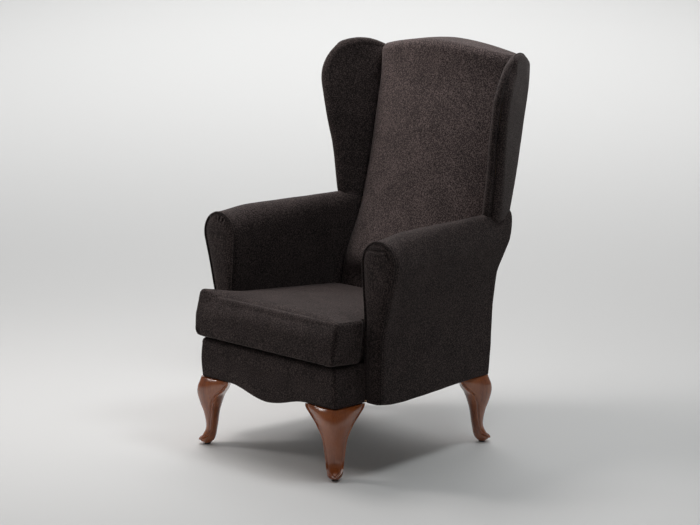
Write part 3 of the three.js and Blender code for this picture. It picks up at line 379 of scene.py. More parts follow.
def through(places, values):
    """A smooth line through a few places."""
    last = len(values) - 1
    slopes = []
    for i in range(len(values)):
        before, after = max(i - 1, 0), min(i + 1, last)
        slopes.append((values[after] - values[before]) / (places[after] - places[before]))

    def line(at):
        t = clamp(at, places[0], places[-1])
        i = 0
        while i < last - 1 and t > places[i + 1]:
            i += 1
        width = places[i + 1] - places[i]
        u = (t - places[i]) / width
        lead = u * (1 - u) * (1 - u) * width * slopes[i]
        trail = u * u * (1 - u) * width * slopes[i + 1]
        return mix(values[i], values[i + 1], u * u * (3 - 2 * u)) + lead - trail

    return line


def bell(distance, width):
    return math.exp(-((distance / width) ** 2))


def lofted(name, rings, material, sharp_angle=40):
    """A closed form through rings of points, with both ends filled."""
    size = len(rings[0])
    points = [p for ring in rings for p in ring]
    faces = ring_faces(len(rings), size)
    faces.append(tuple(range(size))[::-1])
    faces.append(tuple(range(len(points) - size, len(points))))
    return finished(name, points, faces, material, sharp_angle)


LEG_PROFILES = [through(LEG_LEVELS, at) for at in (RIDGE_OUT, EAR_OUT, EAR_ACROSS, HEEL_OUT, KNEE_SWELL)]


def run_along(line):
    """How far along a line each of its points lies."""
    return np.concatenate([[0], np.cumsum(np.linalg.norm(np.diff(line, axis=0), axis=1))])


def leg_outline(level):
    """Half the leg's section at a height: knee from the ridge to the ear, bead, flank and heel."""
    ridge, ear, across, heel, swell = (profile(level) for profile in LEG_PROFILES)
    knee = []
    ridge_end = math.hypot(1, RIDGE_ROUNDING) - RIDGE_ROUNDING
    for t in shares(40):
        rounded = (math.hypot(t, RIDGE_ROUNDING) - RIDGE_ROUNDING) / ridge_end
        bulge = KNEE_FULLNESS * swell * math.sin(math.pi * t)
        knee.append(LEG_EAR * np.array([mix(ridge, ear, rounded) + bulge, across * t + bulge]))
    flank = []
    for t in shares(12)[1:]:
        hollow = FLANK_HOLLOW * math.sin(math.pi * t) * (1 - t)
        flank.append(LEG_EAR * np.array([
            mix(ear, heel, 1 - (1 - t) ** 1.7) + hollow * 0.4,
            across * math.cos(t * math.pi / 2) ** 0.75 - hollow * across,
        ]))
    flank[-1][1] = 0
    line = np.array(knee)
    run = run_along(line)
    meet = smooth(level, *BEAD_MEETS) ** 0.6
    bead = (run[-1] - BEAD_FROM_EDGE) * meet
    along = np.gradient(line, axis=0)
    along /= np.linalg.norm(along, axis=1)[:, None]
    out = np.stack([along[:, 1], -along[:, 0]], axis=1)
    for i, at in enumerate(run):
        lift = BEAD_HEIGHT * bell(at - bead, BEAD_REACH)
        lift -= BEAD_GROOVE * bell(at - bead + GROOVE_PLACE, BEAD_REACH)
        if meet < 1:
            lift -= BEAD_GROOVE * bell(at - bead - GROOVE_PLACE, BEAD_REACH)
        line[i] += out[i] * lift * smooth(level, *BEAD_STARTS)
    line[0][1] = 0
    return [tuple(p) for p in line] + [tuple(p) for p in flank]


def placed(piece, body, slot, *nodes):
    """Ties a piece to its body and hides the frame's solids that it stands for."""
    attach(piece, body)
    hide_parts(*nodes)
    return piece


def cabriole_leg(name, across, depth, material):
    side, end = math.copysign(1, across), math.copysign(1, depth)
    turn = math.atan2(end, side)
    rings = []
    for step in shares(120):
        level = mix(LEG_LEVELS[0], 1, step ** 1.25)
        half = leg_outline(level)
        outline = half + [(x, -y) for x, y in half[-2:0:-1]]
        rings.append([
            (
                across + x * math.cos(turn) - y * math.sin(turn),
                depth + x * math.sin(turn) + y * math.cos(turn),
                max(level * LEG_HEIGHT, GLIDE_HEIGHT),
            )
            for x, y in outline
        ])
    placed(lofted(name, rings, material, 60), "chair", "walnut", name.replace("carved_", ""))


def stained_walnut():
    """Close-grained wood under red-brown stain and a thick clear lacquer."""
    finish = Finish(
        "stained_walnut", 0.33, Specular_IOR_Level=0.08, Coat_Weight=1.0, Coat_IOR=1.7, Coat_Roughness=0.2
    )
    broad = finish.noise(22, 4, 0.55, 0.8, (1, 1, 0.16))
    fine = finish.noise(420, 3, 0.6, 0.2, (1, 1, 0.05))
    grain = finish.blended((broad, 0.65), (fine, 0.35))
    stops = [(0.34, WALNUT_DARK), (0.5, WALNUT_MIDDLE), (0.66, WALNUT_LIGHT)]
    return finish.done(grain, stops, fine, 0.00008, 0.3)


leg_finish = stained_walnut()
for side_name, side in LEFT_AND_RIGHT:
    cabriole_leg(f"carved_leg_front_{side_name}", side * FRONT_HALF_WIDTH, FRONT_LINE, leg_finish)
    cabriole_leg(f"carved_leg_rear_{side_name}", side * REAR_HALF_WIDTH, REAR_FOOT_LINE, leg_finish)

# Front border: cloth over padding on the front rail, turned under at its dipped lower edge.
# It has a sewn corner at each side and is tacked behind the rail, over both front legs.
BORDER_TOP = 0.300
BORDER_CORNER = 0.010
BORDER_BULGE = 0.0035
BORDER_ROUND = 0.014
BORDER_WALL = 0.008
BORDER_DROP = 0.027
BORDER_RETURN = 0.1115
BORDER_HEM = ((-BORDER_WALL, 0.001), (-0.005, 0), (-0.0028, 0.0006), (-0.0010, 0.0022))
BORDER_HEM_HEIGHT = 0.0045
BORDER_CORNER_DIP = 0.0018
BORDER_TOP_TURN = 0.0075
CORNER_SEAM = 0.003
CORNER_SEAM_WIDTH = 0.0022
LEG_EAR_SPAN = 0.112
SEAM_GAP = 0.0003
CLOTH_THICKNESS = 0.0022
CLOTH_TINTS = (
    (0.41, (0.0076, 0.0058, 0.0056)),
    (0.5, (0.0258, 0.0190, 0.0183)),
    (0.59, (0.073, 0.0542, 0.0512)),
)


def pile_cloth(name, shade=1.0):
    """Short-pile upholstery cloth: flecked yarn ends, soft cloudy shading and a dull sheen."""
    finish = Finish(
        name, 0.92, Specular_IOR_Level=0.12,
        Sheen_Weight=0.18, Sheen_Roughness=0.45, Sheen_Tint=(0.62, 0.55, 0.53, 1),
    )
    fleck = finish.noise(310, 2, 0.65, 0.2)
    yarn = finish.noise(950, 2, 0.6)
    cloud = finish.noise(14, 3, 0.55, 0.4)
    tone = finish.blended((fleck, 0.68), (yarn, 0.22), (cloud, 0.10))
    # The shade scales the cloth's colour: for the lining it is its own darker dye, for the inner back
    # painted light and for the piping painted shade.
    stops = [(at, tuple(shade * value for value in tint)) for at, tint in CLOTH_TINTS]
    return finish.done(tone, stops, finish.blended((fleck, 0.6), (yarn, 0.4)), 0.0012, 0.9)


cover_cloth = pile_cloth("cover_cloth")
# The welts and the cushion's corner seam cords take a darker copy of the cover cloth: painted shade along
# the seams.
piping_cloth = pile_cloth("piping_cloth", 0.7)


def grid_normals(grid, inside):
    """The outward normal at each place of a grid of points round something."""
    across = np.cross(np.gradient(grid, axis=0), np.gradient(grid, axis=1))
    length = np.linalg.norm(across, axis=2)
    length[length < 1e-12] = 1
    normals = across / length[..., None]
    facing = np.sum(normals * (grid - np.array(inside)), axis=2).sum()
    return normals if facing > 0 else -normals


def rumpled(grid, inside, height, size, seed):
    """The grid with slow soft waves, as padding under cloth has."""
    waves = np.empty(grid.shape[:2])
    for index in np.ndindex(waves.shape):
        at = Vector(grid[index]) / size + Vector((seed * 7.3, seed * 3.1, seed * 5.7))
        waves[index] = noise.noise(at) + 0.4 * noise.noise(at * 2.3)
    return grid + grid_normals(grid, inside) * (height * waves)[..., None]


def slab(name, outer, inner, material, edge=0.0, sharp_angle=50):
    """A closed piece between two grids of the same size, with a rounded edge all round."""
    rows, columns = outer.shape[:2]
    count = rows * columns
    points = list(outer.reshape(-1, 3)) + list(inner.reshape(-1, 3))
    faces = []
    for i in range(rows - 1):
        for j in range(columns - 1):
            a, b = i * columns + j, (i + 1) * columns + j
            faces.append((a, a + 1, b + 1, b))
            faces.append((count + a, count + b, count + b + 1, count + a + 1))
    spots = np.arange(count).reshape(rows, columns)
    around = [*spots[0], *spots[1:, -1], *spots[-1, -2::-1], *spots[-2:0:-1, 0]]
    start = len(points)
    for k, a in enumerate(around):
        i, j = divmod(int(a), columns)
        nearer = (min(max(i, 1), rows - 2), min(max(j, 1), columns - 2))
        out = outer[i, j] - outer[nearer]
        out = out / max(np.linalg.norm(out), 1e-9)
        points.append((outer[i, j] + inner[i, j]) / 2 + out * edge)
        after = (k + 1) % len(around)
        a, b = int(a), int(around[after])
        faces.append((a, start + k, start + after, b))
        faces.append((count + a, count + b, start + after, start + k))
    return finished(name, points, faces, material, sharp_angle)


def grid_of(rows, columns, place):
    """Rows of places from a function of the share down and the share across."""
    return [[place(u, v) for v in shares(columns)] for u in shares(rows)]


def cloth_skin(name, rows, inside, wave, thickness=CLOTH_THICKNESS, material=cover_cloth):
    """Cloth of even thickness over a grid of places on its outer face.

    Its wave is the height and the size of its soft waves, and a number that shifts them."""
    outer = rumpled(np.array(rows, float), inside, *wave)
    inner = outer - grid_normals(outer, inside) * thickness
    return slab(name, outer, inner, material, thickness * 0.35)


def chair_cloth(piece, fill, *nodes):
    """A padded piece that is fixed to the chair and stands for some of the frame's solids."""
    placed(piece, "chair", "cover_cloth", *nodes)


def border_low(x):
    inward = (FRONT_HALF_WIDTH - LEG_EAR_SPAN - abs(x)) / (FRONT_HALF_WIDTH - LEG_EAR_SPAN)
    return LEG_HEIGHT + SEAM_GAP - BORDER_DROP * smooth(inward, 0, 1)


def border_path():
    """Places along the border seen from above, each with the way out."""
    rear = FRONT_LINE + BORDER_RETURN
    straight = FRONT_LINE + BORDER_CORNER
    reach = FRONT_HALF_WIDTH - BORDER_CORNER
    half = [(FRONT_HALF_WIDTH, mix(rear, straight, t), 1, 0) for t in shares(14)[:-1]]
    for ahead, back in quarter(12):
        nx, ny = 1 - back, -ahead
        half.append((reach + BORDER_CORNER * nx, straight + BORDER_CORNER * ny, nx, ny))
    half += [(reach * (1 - t), FRONT_LINE, 0, -1) for t in shares(46)[1:]]
    return half + [(-x, y, -nx, ny) for x, y, nx, ny in half[-2::-1]]


def border_rows():
    rows = []
    height_shares = [0, *[t * 0.9 + 0.05 for t in shares(26)], 1]
    for x, y, nx, ny in border_path():
        low = border_low(x)
        beside, behind = FRONT_HALF_WIDTH - CORNER_SEAM - abs(x), y - FRONT_LINE - CORNER_SEAM
        corner = bell(math.hypot(beside, behind), CORNER_SEAM_WIDTH)
        row = [(out, low + above) for out, above in BORDER_HEM]
        for t in height_shares:
            z = mix(low + BORDER_HEM_HEIGHT, BORDER_TOP - BORDER_ROUND, t)
            row.append((BORDER_BULGE * math.sin(math.pi * t) - BORDER_CORNER_DIP * corner, z))
        for up, back in quarter(5)[1:]:
            row.append((-BORDER_TOP_TURN * back, BORDER_TOP - BORDER_ROUND * (1 - up)))
        row.append((-BORDER_WALL, BORDER_TOP))
        rows.append([(x + nx * out, y + ny * out, z) for out, z in row])
    return rows


front_border = cloth_skin("front_border_cover", border_rows(), (0, -0.2, 0.24), (0.0008, 0.07, 1))
chair_cloth(front_border, 0.6, "front_border")

# Deck: lining cloth over a thin pad on the springs, sewn to the border and hidden by the cushion.
# It slopes down to the back, so the loose cushion stays in.
DECK_FRONT_HEIGHT = 0.308
DECK_SLOPE = math.radians(4.6)
DECK_LENGTH = 0.500
DECK_THICKNESS = 0.016
DECK_HALF_WIDTH = 0.2539
DECK_PLAY = 0.0015
DECK_UNDER = 0.0008
DECK_LINING_THICKNESS = 0.004
DECK_RIM_SHARE = 0.012
DECK_RIM_DROP = 0.0045
DECK_SAG = 0.0016


def on_deck(x, along, above):
    """A place in the chair from one on the sloped deck: along from the front edge, and above it."""
    return (
        x,
        FRONT_LINE + along * math.cos(DECK_SLOPE) + above * math.sin(DECK_SLOPE),
        DECK_FRONT_HEIGHT - along * math.sin(DECK_SLOPE) + above * math.cos(DECK_SLOPE),
    )


def deck_place(u, v):
    within = smooth(min(u, 1 - u, v, 1 - v), 0, DECK_RIM_SHARE)
    sag = DECK_SAG * math.sin(math.pi * u) * math.sin(math.pi * v)
    sunk = DECK_RIM_DROP * (1 - within) + sag
    half = DECK_HALF_WIDTH - DECK_PLAY * within
    front = BORDER_WALL + 2 * SEAM_GAP + DECK_THICKNESS * math.tan(DECK_SLOPE)
    return on_deck(mix(-half, half, v), front + DECK_LENGTH * u, -DECK_UNDER - sunk)


deck_lining = cloth_skin(
    "deck_lining", grid_of(60, 60, deck_place), (0, -0.1, 0), (0.0004, 0.05, 2),
    DECK_LINING_THICKNESS, pile_cloth("lining_cloth", 0.7),
)
placed(deck_lining, "chair", "lining_cloth", "deck_pad")

# Dust cover: thin black cloth stapled under the frame, cut back round the four legs.
# It hides the springs from below and sags a little in the middle.
DUST_INSET = 0.0095
DUST_FRONT = -0.3269
DUST_REAR = 0.2109
DUST_CORNER = 0.084 * math.sqrt(2) + 0.0006
DUST_SAG = 0.004
DUST_THICKNESS = 0.001


def dust_half(y):
    """Half the dust cover's width at a depth, cut back on the slant at each leg."""
    half = FRONT_HALF_WIDTH - DUST_INSET
    front_cut = FRONT_HALF_WIDTH - DUST_CORNER + (y - FRONT_LINE)
    rear_cut = REAR_HALF_WIDTH - DUST_CORNER + (REAR_FOOT_LINE - y)
    return min(half, front_cut, rear_cut)


def dust_place(u, v):
    y = mix(DUST_FRONT, DUST_REAR, u)
    sag = DUST_SAG * math.sin(math.pi * u) * math.sin(math.pi * v)
    return dust_half(y) * (2 * v - 1), y, LEG_HEIGHT - 0.0002 - sag


def bonded_cloth():
    finish = Finish("dust_cloth", 0.95)
    fibre = finish.noise(700, 4, 0.7, 1.5)
    return finish.done(fibre, [(0.35, grey(0.006)), (0.7, grey(0.022))], fibre, 0.0003, 0.5)


dust_grid = np.array(grid_of(40, 40, dust_place))
dust_cover = slab("dust_cover_cloth", dust_grid - (0, 0, DUST_THICKNESS), dust_grid, bonded_cloth(), 0.0003)
placed(dust_cover, "chair", "dust_cloth", "dust_cover")

# Arms: one piece of cloth per arm runs from the seat over foam, round the roll and down the outside.
# The roll is large in front and slim at the back. A scroll-shaped panel with a welt closes the front.
ARM_FRONT = FRONT_LINE + 0.113
ARM_BODY_FRONT = ARM_FRONT + 0.0053
ARM_INNER_FOOT = 0.259
ARM_INNER_TOP = 0.248
ARM_INNER_BEND = 0.390
ARM_TOP = 0.630
ARM_ROLL_FRONT = 0.062
ARM_ROLL_REAR = 0.024
ARM_ROLL_FALL_REAR = 0.056
ARM_SWELL = 0.011
ARM_SWELL_SHARE = 0.2
ARM_FOOT_FRONT = 0.320
ARM_FOOT_REAR = 0.282
ARM_BOTTOM = 0.1945
ARM_BELLY = 0.0055
ARM_FOOT_CORNER = 0.010
ARM_PAD_FOOT = 0.270
ARM_INNER_STEPS = 24
ARM_ROLL_END = math.radians(15)
EDGE_TURN = 0.0010
EDGE_REACH = 0.2503
WING_EDGE_REACH = 0.262
OUTER_DROPS = (0, 0.154, 0.38, 0.505, 0.75, 1)
OUTER_FLARES = (1, 0.68, 0.28, 0.05, 0, 0)
REAR_DROPS = (0, 0.074, 0.235, 0.334, 0.62, 0.8, 1)
REAR_SWELLS = (1, 0.46, -0.62, -0.65, -0.31, 0, 0)
PANEL_THICKNESS = 0.005
PANEL_CROWN = 0.006
PANEL_EDGE = 0.002
PIPING_RADIUS = 0.0032
PIPING_INSET = 0.0022
CORD_SIDES = 10
BACK_TOP = 1.091
BACK_RAKE = 0.162
BACK_HEIGHTS = (0, 0.131, 0.27, 0.385, 0.495, 0.613, 0.761, 0.887, 1)
BACK_SETS = (0, 0.08, 0.19, 0.364, 0.537, 0.704, 0.864, 0.988, 1)
COVER_THICKNESS = 0.003
POST_DEPTH = 0.034
POST_OUTER = 0.258
POST_PLAY = 0.0008
ARM_REAR_PLAY = 0.0007
BESIDE_PLAY = 0.0005
INNER_HALF_LIMIT = 0.29
OUTER_SHARES = [1 - (1 - t) ** 1.25 for t in shares(44)[1:]]
ARM_DEPTH_SHARES = (0, 0.002, 0.005, 0.009, 0.014, 0.020, *[mix(0.028, 1, t) for t in shares(100)])
ARM_TUCK_END = (0.54, 0.59)
BACK_PAD_NEAR = 0.012
ARM_TURN_SHARE = 0.018
ARM_TURN_INSET = 0.0052
ARM_HEM = ((0.0012, 0.0010), (0.0035, 0.0013), (0.0075, 0.0011))
BACK_PAD_HALF_WIDTH = 0.2496
BACK_DEEP = 0.081
BACK_SLIM = 0.055
BACK_SLIMS = (0.430, 0.620)

front_outer_line = through(OUTER_DROPS, OUTER_FLARES)
rear_outer_line = through(REAR_DROPS, REAR_SWELLS)
back_set = through(BACK_HEIGHTS, BACK_SETS)


def back_line(z):
    return REAR_FOOT_LINE + BACK_RAKE * back_set((z - LEG_HEIGHT) / (BACK_TOP - LEG_HEIGHT))


def post_back(z):
    return back_line(z) - COVER_THICKNESS - POST_PLAY


def post_front(z):
    return post_back(z) - POST_DEPTH


def inner_line(z):
    return back_line(z) - mix(BACK_DEEP, BACK_SLIM, smooth(z, *BACK_SLIMS))


def roll_radius(s):
    return mix(ARM_ROLL_FRONT, ARM_ROLL_REAR, s)


def roll_fall(s):
    """How far the roll drops from its crest to its widest place on the outer side."""
    return mix(ARM_ROLL_FRONT, ARM_ROLL_FALL_REAR, s)


def roll_swell(s):
    """How far the stuffing stands above the front panel's top behind it."""
    return ARM_SWELL * smooth(s, 0, ARM_SWELL_SHARE)


def roll_edge(s):
    return ARM_INNER_TOP + roll_radius(s) * (1 + math.cos(ARM_ROLL_END))


def arm_inner_x(z, s):
    lean = ARM_INNER_FOOT - ARM_INNER_TOP
    return ARM_INNER_FOOT - lean * smooth(z, ARM_INNER_BEND, ARM_TOP - roll_radius(s))


def arm_outer(s, drop, inset=0.0, foot=ARM_BOTTOM):
    top = ARM_TOP - roll_fall(s) * (1 + math.sin(ARM_ROLL_END))
    z = mix(top, foot, drop)
    front_x = mix(ARM_FOOT_FRONT, roll_edge(0), front_outer_line(drop))
    rear_x = ARM_FOOT_REAR + (roll_edge(1) - ARM_FOOT_REAR) * rear_outer_line(drop)
    short = clamp(ARM_FOOT_CORNER - (z - foot), 0, ARM_FOOT_CORNER)
    corner = ARM_FOOT_CORNER - math.sqrt(ARM_FOOT_CORNER ** 2 - short ** 2)
    return mix(front_x, rear_x, s) - inset - corner * (1 - smooth(s, 0, 0.08)), z


def arm_roll(s, inset, steps):
    radius = roll_radius(s)
    line = []
    for t in shares(steps):
        angle = math.pi - t * (math.pi + ARM_ROLL_END)
        height = radius if angle > math.pi / 2 else roll_fall(s)
        swell = roll_swell(s) if angle > 0 else 0
        line.append((
            ARM_INNER_TOP + radius + (radius - inset) * math.cos(angle),
            ARM_TOP - height + (height + swell - inset) * math.sin(angle),
        ))
    return line


def arm_inner(s, inset, foot, steps):
    heights = [mix(foot, ARM_TOP - roll_radius(s), t) for t in shares(steps)[:-1]]
    return [(arm_inner_x(z, s) + inset, z) for z in heights]


def arm_depth(s, z):
    return mix(ARM_BODY_FRONT, post_back(z) - ARM_REAR_PLAY, s)


def arm_cover_rows(side):
    """Places on the arm's cloth: each row is one section, from the seat over the roll to the hem."""
    rows = []
    beside = BACK_PAD_HALF_WIDTH + BESIDE_PLAY
    for s in ARM_DEPTH_SHARES:
        turn = 1 - clamp(s / ARM_TURN_SHARE)
        inset = ARM_TURN_INSET * (1 - math.sqrt(1 - turn * turn))
        foot = ARM_BOTTOM - ARM_BELLY * math.sin(math.pi * math.sqrt(s)) ** 2
        line = [*arm_inner(s, inset, ARM_PAD_FOOT, ARM_INNER_STEPS), *arm_roll(s, inset, 40)]
        line += [arm_outer(s, drop, inset, foot) for drop in OUTER_SHARES]
        hem_x, hem_z = line[-1]
        line += [(hem_x - back, hem_z - down) for back, down in ARM_HEM]
        row = []
        for step, (x, z) in enumerate(line):
            y = arm_depth(s, z)
            back_pad = inner_line(z) - BACK_PAD_NEAR
            if y > back_pad and x < INNER_HALF_LIMIT:
                x = max(x, beside)
            if step < ARM_INNER_STEPS:
                tuck = smooth(y, back_pad, inner_line(z) + 0.008)
                x = mix(x, beside, tuck * (1 - smooth(z, *ARM_TUCK_END)))
            if y > post_front(z) - 0.004 and x < INNER_HALF_LIMIT:
                x = max(x, POST_OUTER + BESIDE_PLAY)
            row.append((side * x, y, z))
        rows.append(row)
    return rows + turned_in(rows[-1], side, EDGE_REACH)


def turned_in(row, side, reach):
    """The next places of a cloth whose end is turned in behind the back post."""
    near = [(x - side * min(EDGE_TURN, abs(x) - reach), y + EDGE_TURN, z) for x, y, z in row]
    return [near, [(side * reach, y, z) for x, y, z in near]]


def arm_cover(side_name, side):
    inside, wave = (side * 0.29, 0, 0.45), (0.0010, 0.09, 3 + side)
    cover = cloth_skin(f"arm_cover_{side_name}", arm_cover_rows(side), inside, wave)
    chair_cloth(cover, 0.7, f"arm_pad_{side_name}", f"arm_outside_cover_{side_name}")


SCROLL_X = ARM_INNER_TOP + ARM_ROLL_FRONT
SCROLL_Z = ARM_TOP - ARM_ROLL_FRONT
PANEL_INSET = PIPING_INSET + PIPING_RADIUS + 0.0006
PANEL_FOOT = ARM_BOTTOM - 0.0015


def panel_edges(z):
    """The panel's two sides at a height."""
    half = math.sqrt(max((ARM_ROLL_FRONT - PANEL_INSET) ** 2 - (z - SCROLL_Z) ** 2, 0))
    under_roll = ARM_TOP - ARM_ROLL_FRONT * (1 + math.sin(ARM_ROLL_END))
    drop = clamp((under_roll - z) / (under_roll - ARM_BOTTOM))
    inner = SCROLL_X - half if z > SCROLL_Z else arm_inner_x(z, 0) + PANEL_INSET
    outer = SCROLL_X + half if z > under_roll else arm_outer(0, drop, PANEL_INSET)[0]
    return inner, outer


FOLD_WIDTH = 0.0028
PANEL_FOLD_DEPTH = 2.2
# Folds that the pulled cloth of each panel shows: from and to, as across and up, with the depth.
PANEL_FOLDS = {
    "right": (
        ((0.262, 0.6030), (0.345, 0.6075), 0.0024),
        ((0.264, 0.5720), (0.286, 0.5560), 0.0013),
        ((0.262, 0.5500), (0.290, 0.5290), 0.0013),
        ((0.336, 0.6080), (0.352, 0.5900), 0.0018),
        ((0.300, 0.6220), (0.322, 0.6170), 0.0012),
    ),
    "left": (
        ((0.264, 0.5460), (0.330, 0.5500), 0.0012),
        ((0.262, 0.5250), (0.322, 0.5330), 0.0015),
        ((0.284, 0.6180), (0.294, 0.6020), 0.0014),
        ((0.300, 0.6220), (0.304, 0.6050), 0.0012),
        ((0.318, 0.6190), (0.314, 0.6030), 0.0012),
    ),
}


def folds(x, z, side_name):
    """How deep the folds are at a place: a crease with a softer swell on its lower side."""
    depth = 0.0
    for (x0, z0), (x1, z1), deep in PANEL_FOLDS[side_name]:
        run = Vector((x1 - x0, z1 - z0))
        at = Vector((x - x0, z - z0))
        share = clamp(at.dot(run) / run.length_squared)
        away = at - share * run
        ends = math.sin(math.pi * mix(0.12, 0.88, share))
        below = run.normalized().x * away.y - run.normalized().y * away.x < 0
        swell = 0.55 * bell(away.length - 2.2 * FOLD_WIDTH, 1.6 * FOLD_WIDTH) * below
        depth += deep * ends * (bell(away.length, FOLD_WIDTH) - swell)
    return PANEL_FOLD_DEPTH * depth


def arm_panel(side_name, side):
    heights = [SCROLL_Z + (ARM_ROLL_FRONT - PANEL_INSET) * (1 - down) for _, down in quarter(36)[:-1]]
    heights += [mix(SCROLL_Z, PANEL_FOOT, t) for t in shares(90)]
    outer, inner = [], []
    for i, z in enumerate(heights):
        left, right = panel_edges(z)
        u = i / (len(heights) - 1)
        width = (right - left) / (2 * ARM_ROLL_FRONT)
        front_row, back_row = [], []
        for v in shares(48):
            x = mix(left, right, v)
            puff = (1 - abs(2 * v - 1) ** 3.2) * (1 - abs(2 * u - 1) ** 14)
            y = ARM_FRONT + PANEL_EDGE * (1 - puff) - PANEL_CROWN * puff * width
            y += folds(x, z, side_name) * puff
            front_row.append((side * x, y, z))
            back_row.append((side * x, ARM_FRONT + PANEL_THICKNESS - 0.0002, z))
        outer.append(front_row)
        inner.append(back_row)
    outer = rumpled(np.array(outer), (side * 0.3, 0, 0.4), 0.0006, 0.05, 6 + side)
    panel = slab(f"arm_panel_{side_name}", outer, np.array(inner), cover_cloth, 0.0004)
    chair_cloth(panel, 0.6, f"arm_front_panel_{side_name}")


def cord(name, path, radius, body, node):
    """A round cord of cloth through points, closed at both ends."""
    path = [Vector(p) for p in path]
    turns = [2 * math.pi * k / CORD_SIDES for k in range(CORD_SIDES)]
    rings = []
    for i, at in enumerate(path):
        ahead = (path[min(i + 1, len(path) - 1)] - path[max(i - 1, 0)]).normalized()
        beside = ahead.cross(Vector((0, -1, 0))).normalized()
        over = beside.cross(ahead).normalized()
        rings.append([at + radius * (math.cos(turn) * beside + math.sin(turn) * over) for turn in turns])
    # The cord's darker cloth is painted shade along its seam.
    placed(lofted(name, rings, piping_cloth, 60), body, "piping_cloth", node)


def arm_welt(side_name, side):
    line = [*arm_inner(0, PIPING_INSET, ARM_BOTTOM, 60), *arm_roll(0, PIPING_INSET, 60)]
    line += [arm_outer(0, drop, PIPING_INSET) for drop in OUTER_SHARES]
    y = ARM_FRONT + PANEL_THICKNESS - PIPING_RADIUS
    path = [(side * x, y, z) for x, z in line if z > ARM_BOTTOM + SEAM_GAP]
    cord(f"arm_welt_{side_name}", path, PIPING_RADIUS, "chair", f"arm_piping_{side_name}")


for side_name, side in LEFT_AND_RIGHT:
    arm_cover(side_name, side)
    arm_panel(side_name, side)
    arm_welt(side_name, side)

# Inner back: cloth over foam on the webbing, fuller from the waist up and turned over the crest.
# Its sides are pulled in beside the wings and its top is a low arch.
BACK_ARCH = 0.031
BACK_ARCH_HALF_WIDTH = 0.238
BACK_TOP_ROUND = 0.022
BACK_TOP_EDGE = 0.006
BACK_LIP = 0.014
BACK_PAD_FOOT = 0.272
BACK_SIDE_EDGE = 0.007
BACK_SIDE_ROUND = 0.014
BACK_CROWN_START = 0.398
BACK_CROWN_FULL = 0.480
BACK_CROWN_LOW = 0.047
BACK_CROWN_HIGH = 0.042
CREST_COVER = 0.026
WEB_DEPTH = 0.0045
# The inner back's cloth is 1.85 times as light as the rest of the cover: painted light on the back.
BACK_PAINTED_LIGHT = 1.85


def arch_drop(x):
    return BACK_ARCH * abs(x / BACK_ARCH_HALF_WIDTH) ** 1.7


def back_crown(x, z):
    rise = smooth(z, BACK_CROWN_START, BACK_CROWN_FULL)
    size = mix(BACK_CROWN_LOW, BACK_CROWN_HIGH, smooth(z, BACK_CROWN_FULL, BACK_TOP))
    return size * rise * (1 - min(abs(x / BACK_PAD_HALF_WIDTH), 1) ** 2.1)


def back_pad_rings():
    rings = []
    rear = back_line(BACK_TOP)
    for t in shares(80):
        share = math.sin((t - 0.5) * math.pi)
        x = BACK_PAD_HALF_WIDTH * share
        edge = BACK_SIDE_EDGE * smooth(abs(share), 0.93, 1) ** 2
        side = BACK_SIDE_ROUND * (1 - math.sqrt(1 - clamp((abs(share) - 0.88) / 0.12) ** 2))
        arch = BACK_TOP - arch_drop(x)
        top = arch - edge
        round_at = top - BACK_TOP_ROUND
        heights = [mix(BACK_PAD_FOOT, round_at, k) for k in shares(90)]
        ring = [(inner_line(z) - back_crown(x, z) + side, z) for z in heights]
        front = ring[-1][0]
        ring += [
            (front + BACK_TOP_ROUND * back, round_at + BACK_TOP_ROUND * up) for up, back in quarter(10)[1:]
        ]
        ring += [(mix(front + BACK_TOP_ROUND, rear - BACK_TOP_EDGE, k), top) for k in shares(6)[1:]]
        ring += [
            (rear - BACK_TOP_EDGE * (1 - out), top - BACK_TOP_EDGE * down) for out, down in quarter(4)[1:]
        ]
        lip_foot, seat = arch - BACK_LIP, arch - CREST_COVER + 0.001
        ring += [(rear, lip_foot), (rear - COVER_THICKNESS, lip_foot), (rear - COVER_THICKNESS, seat)]
        heights = [mix(seat, BACK_PAD_FOOT, k) for k in shares(40)]
        ring += [(post_front(z) - WEB_DEPTH, z) for z in heights]
        rings.append([(x, y, z) for y, z in ring])
    return rings


# A lighter copy of the cover cloth for the inner back, its extra lightness painted light.
back_cloth_painted_light = pile_cloth("back_cloth_painted_light", BACK_PAINTED_LIGHT)
chair_cloth(lofted("inner_back", back_pad_rings(), back_cloth_painted_light, 60), 0.75, "inner_back_pad")

# Outside back: one cloth panel stretched down the back from the crest to under the seat.
# It is slipped on tack strip at the sides and stapled below.
WING_BOARD_THICKNESS = 0.012
BACK_COVER_FOOT = 0.1925
WING_COVER_THICKNESS = 0.004
WING_OUTER_REAR = POST_OUTER + 4 * SEAM_GAP + WING_BOARD_THICKNESS + WING_COVER_THICKNESS


def back_cover_half(z):
    drop = clamp((ARM_TOP - z) / (ARM_TOP - ARM_BOTTOM))
    return min(arm_outer(1, drop)[0], WING_OUTER_REAR) - COVER_THICKNESS / 2


def outside_back_place(u, v):
    across = 2 * v - 1
    top = BACK_TOP - arch_drop(across * WING_OUTER_REAR) - BACK_LIP - 0.003
    z = mix(BACK_COVER_FOOT, top, u)
    edge = 0.002 * smooth(abs(across), 0.96, 1) ** 2
    return across * back_cover_half(z), back_line(z) - edge, z


outside_back = cloth_skin(
    "outside_back_cloth", grid_of(120, 60, outside_back_place), (0, -0.3, 0.6), (0.0007, 0.12, 4)
)
placed(outside_back, "chair", "cover_cloth", "outside_back_cover")

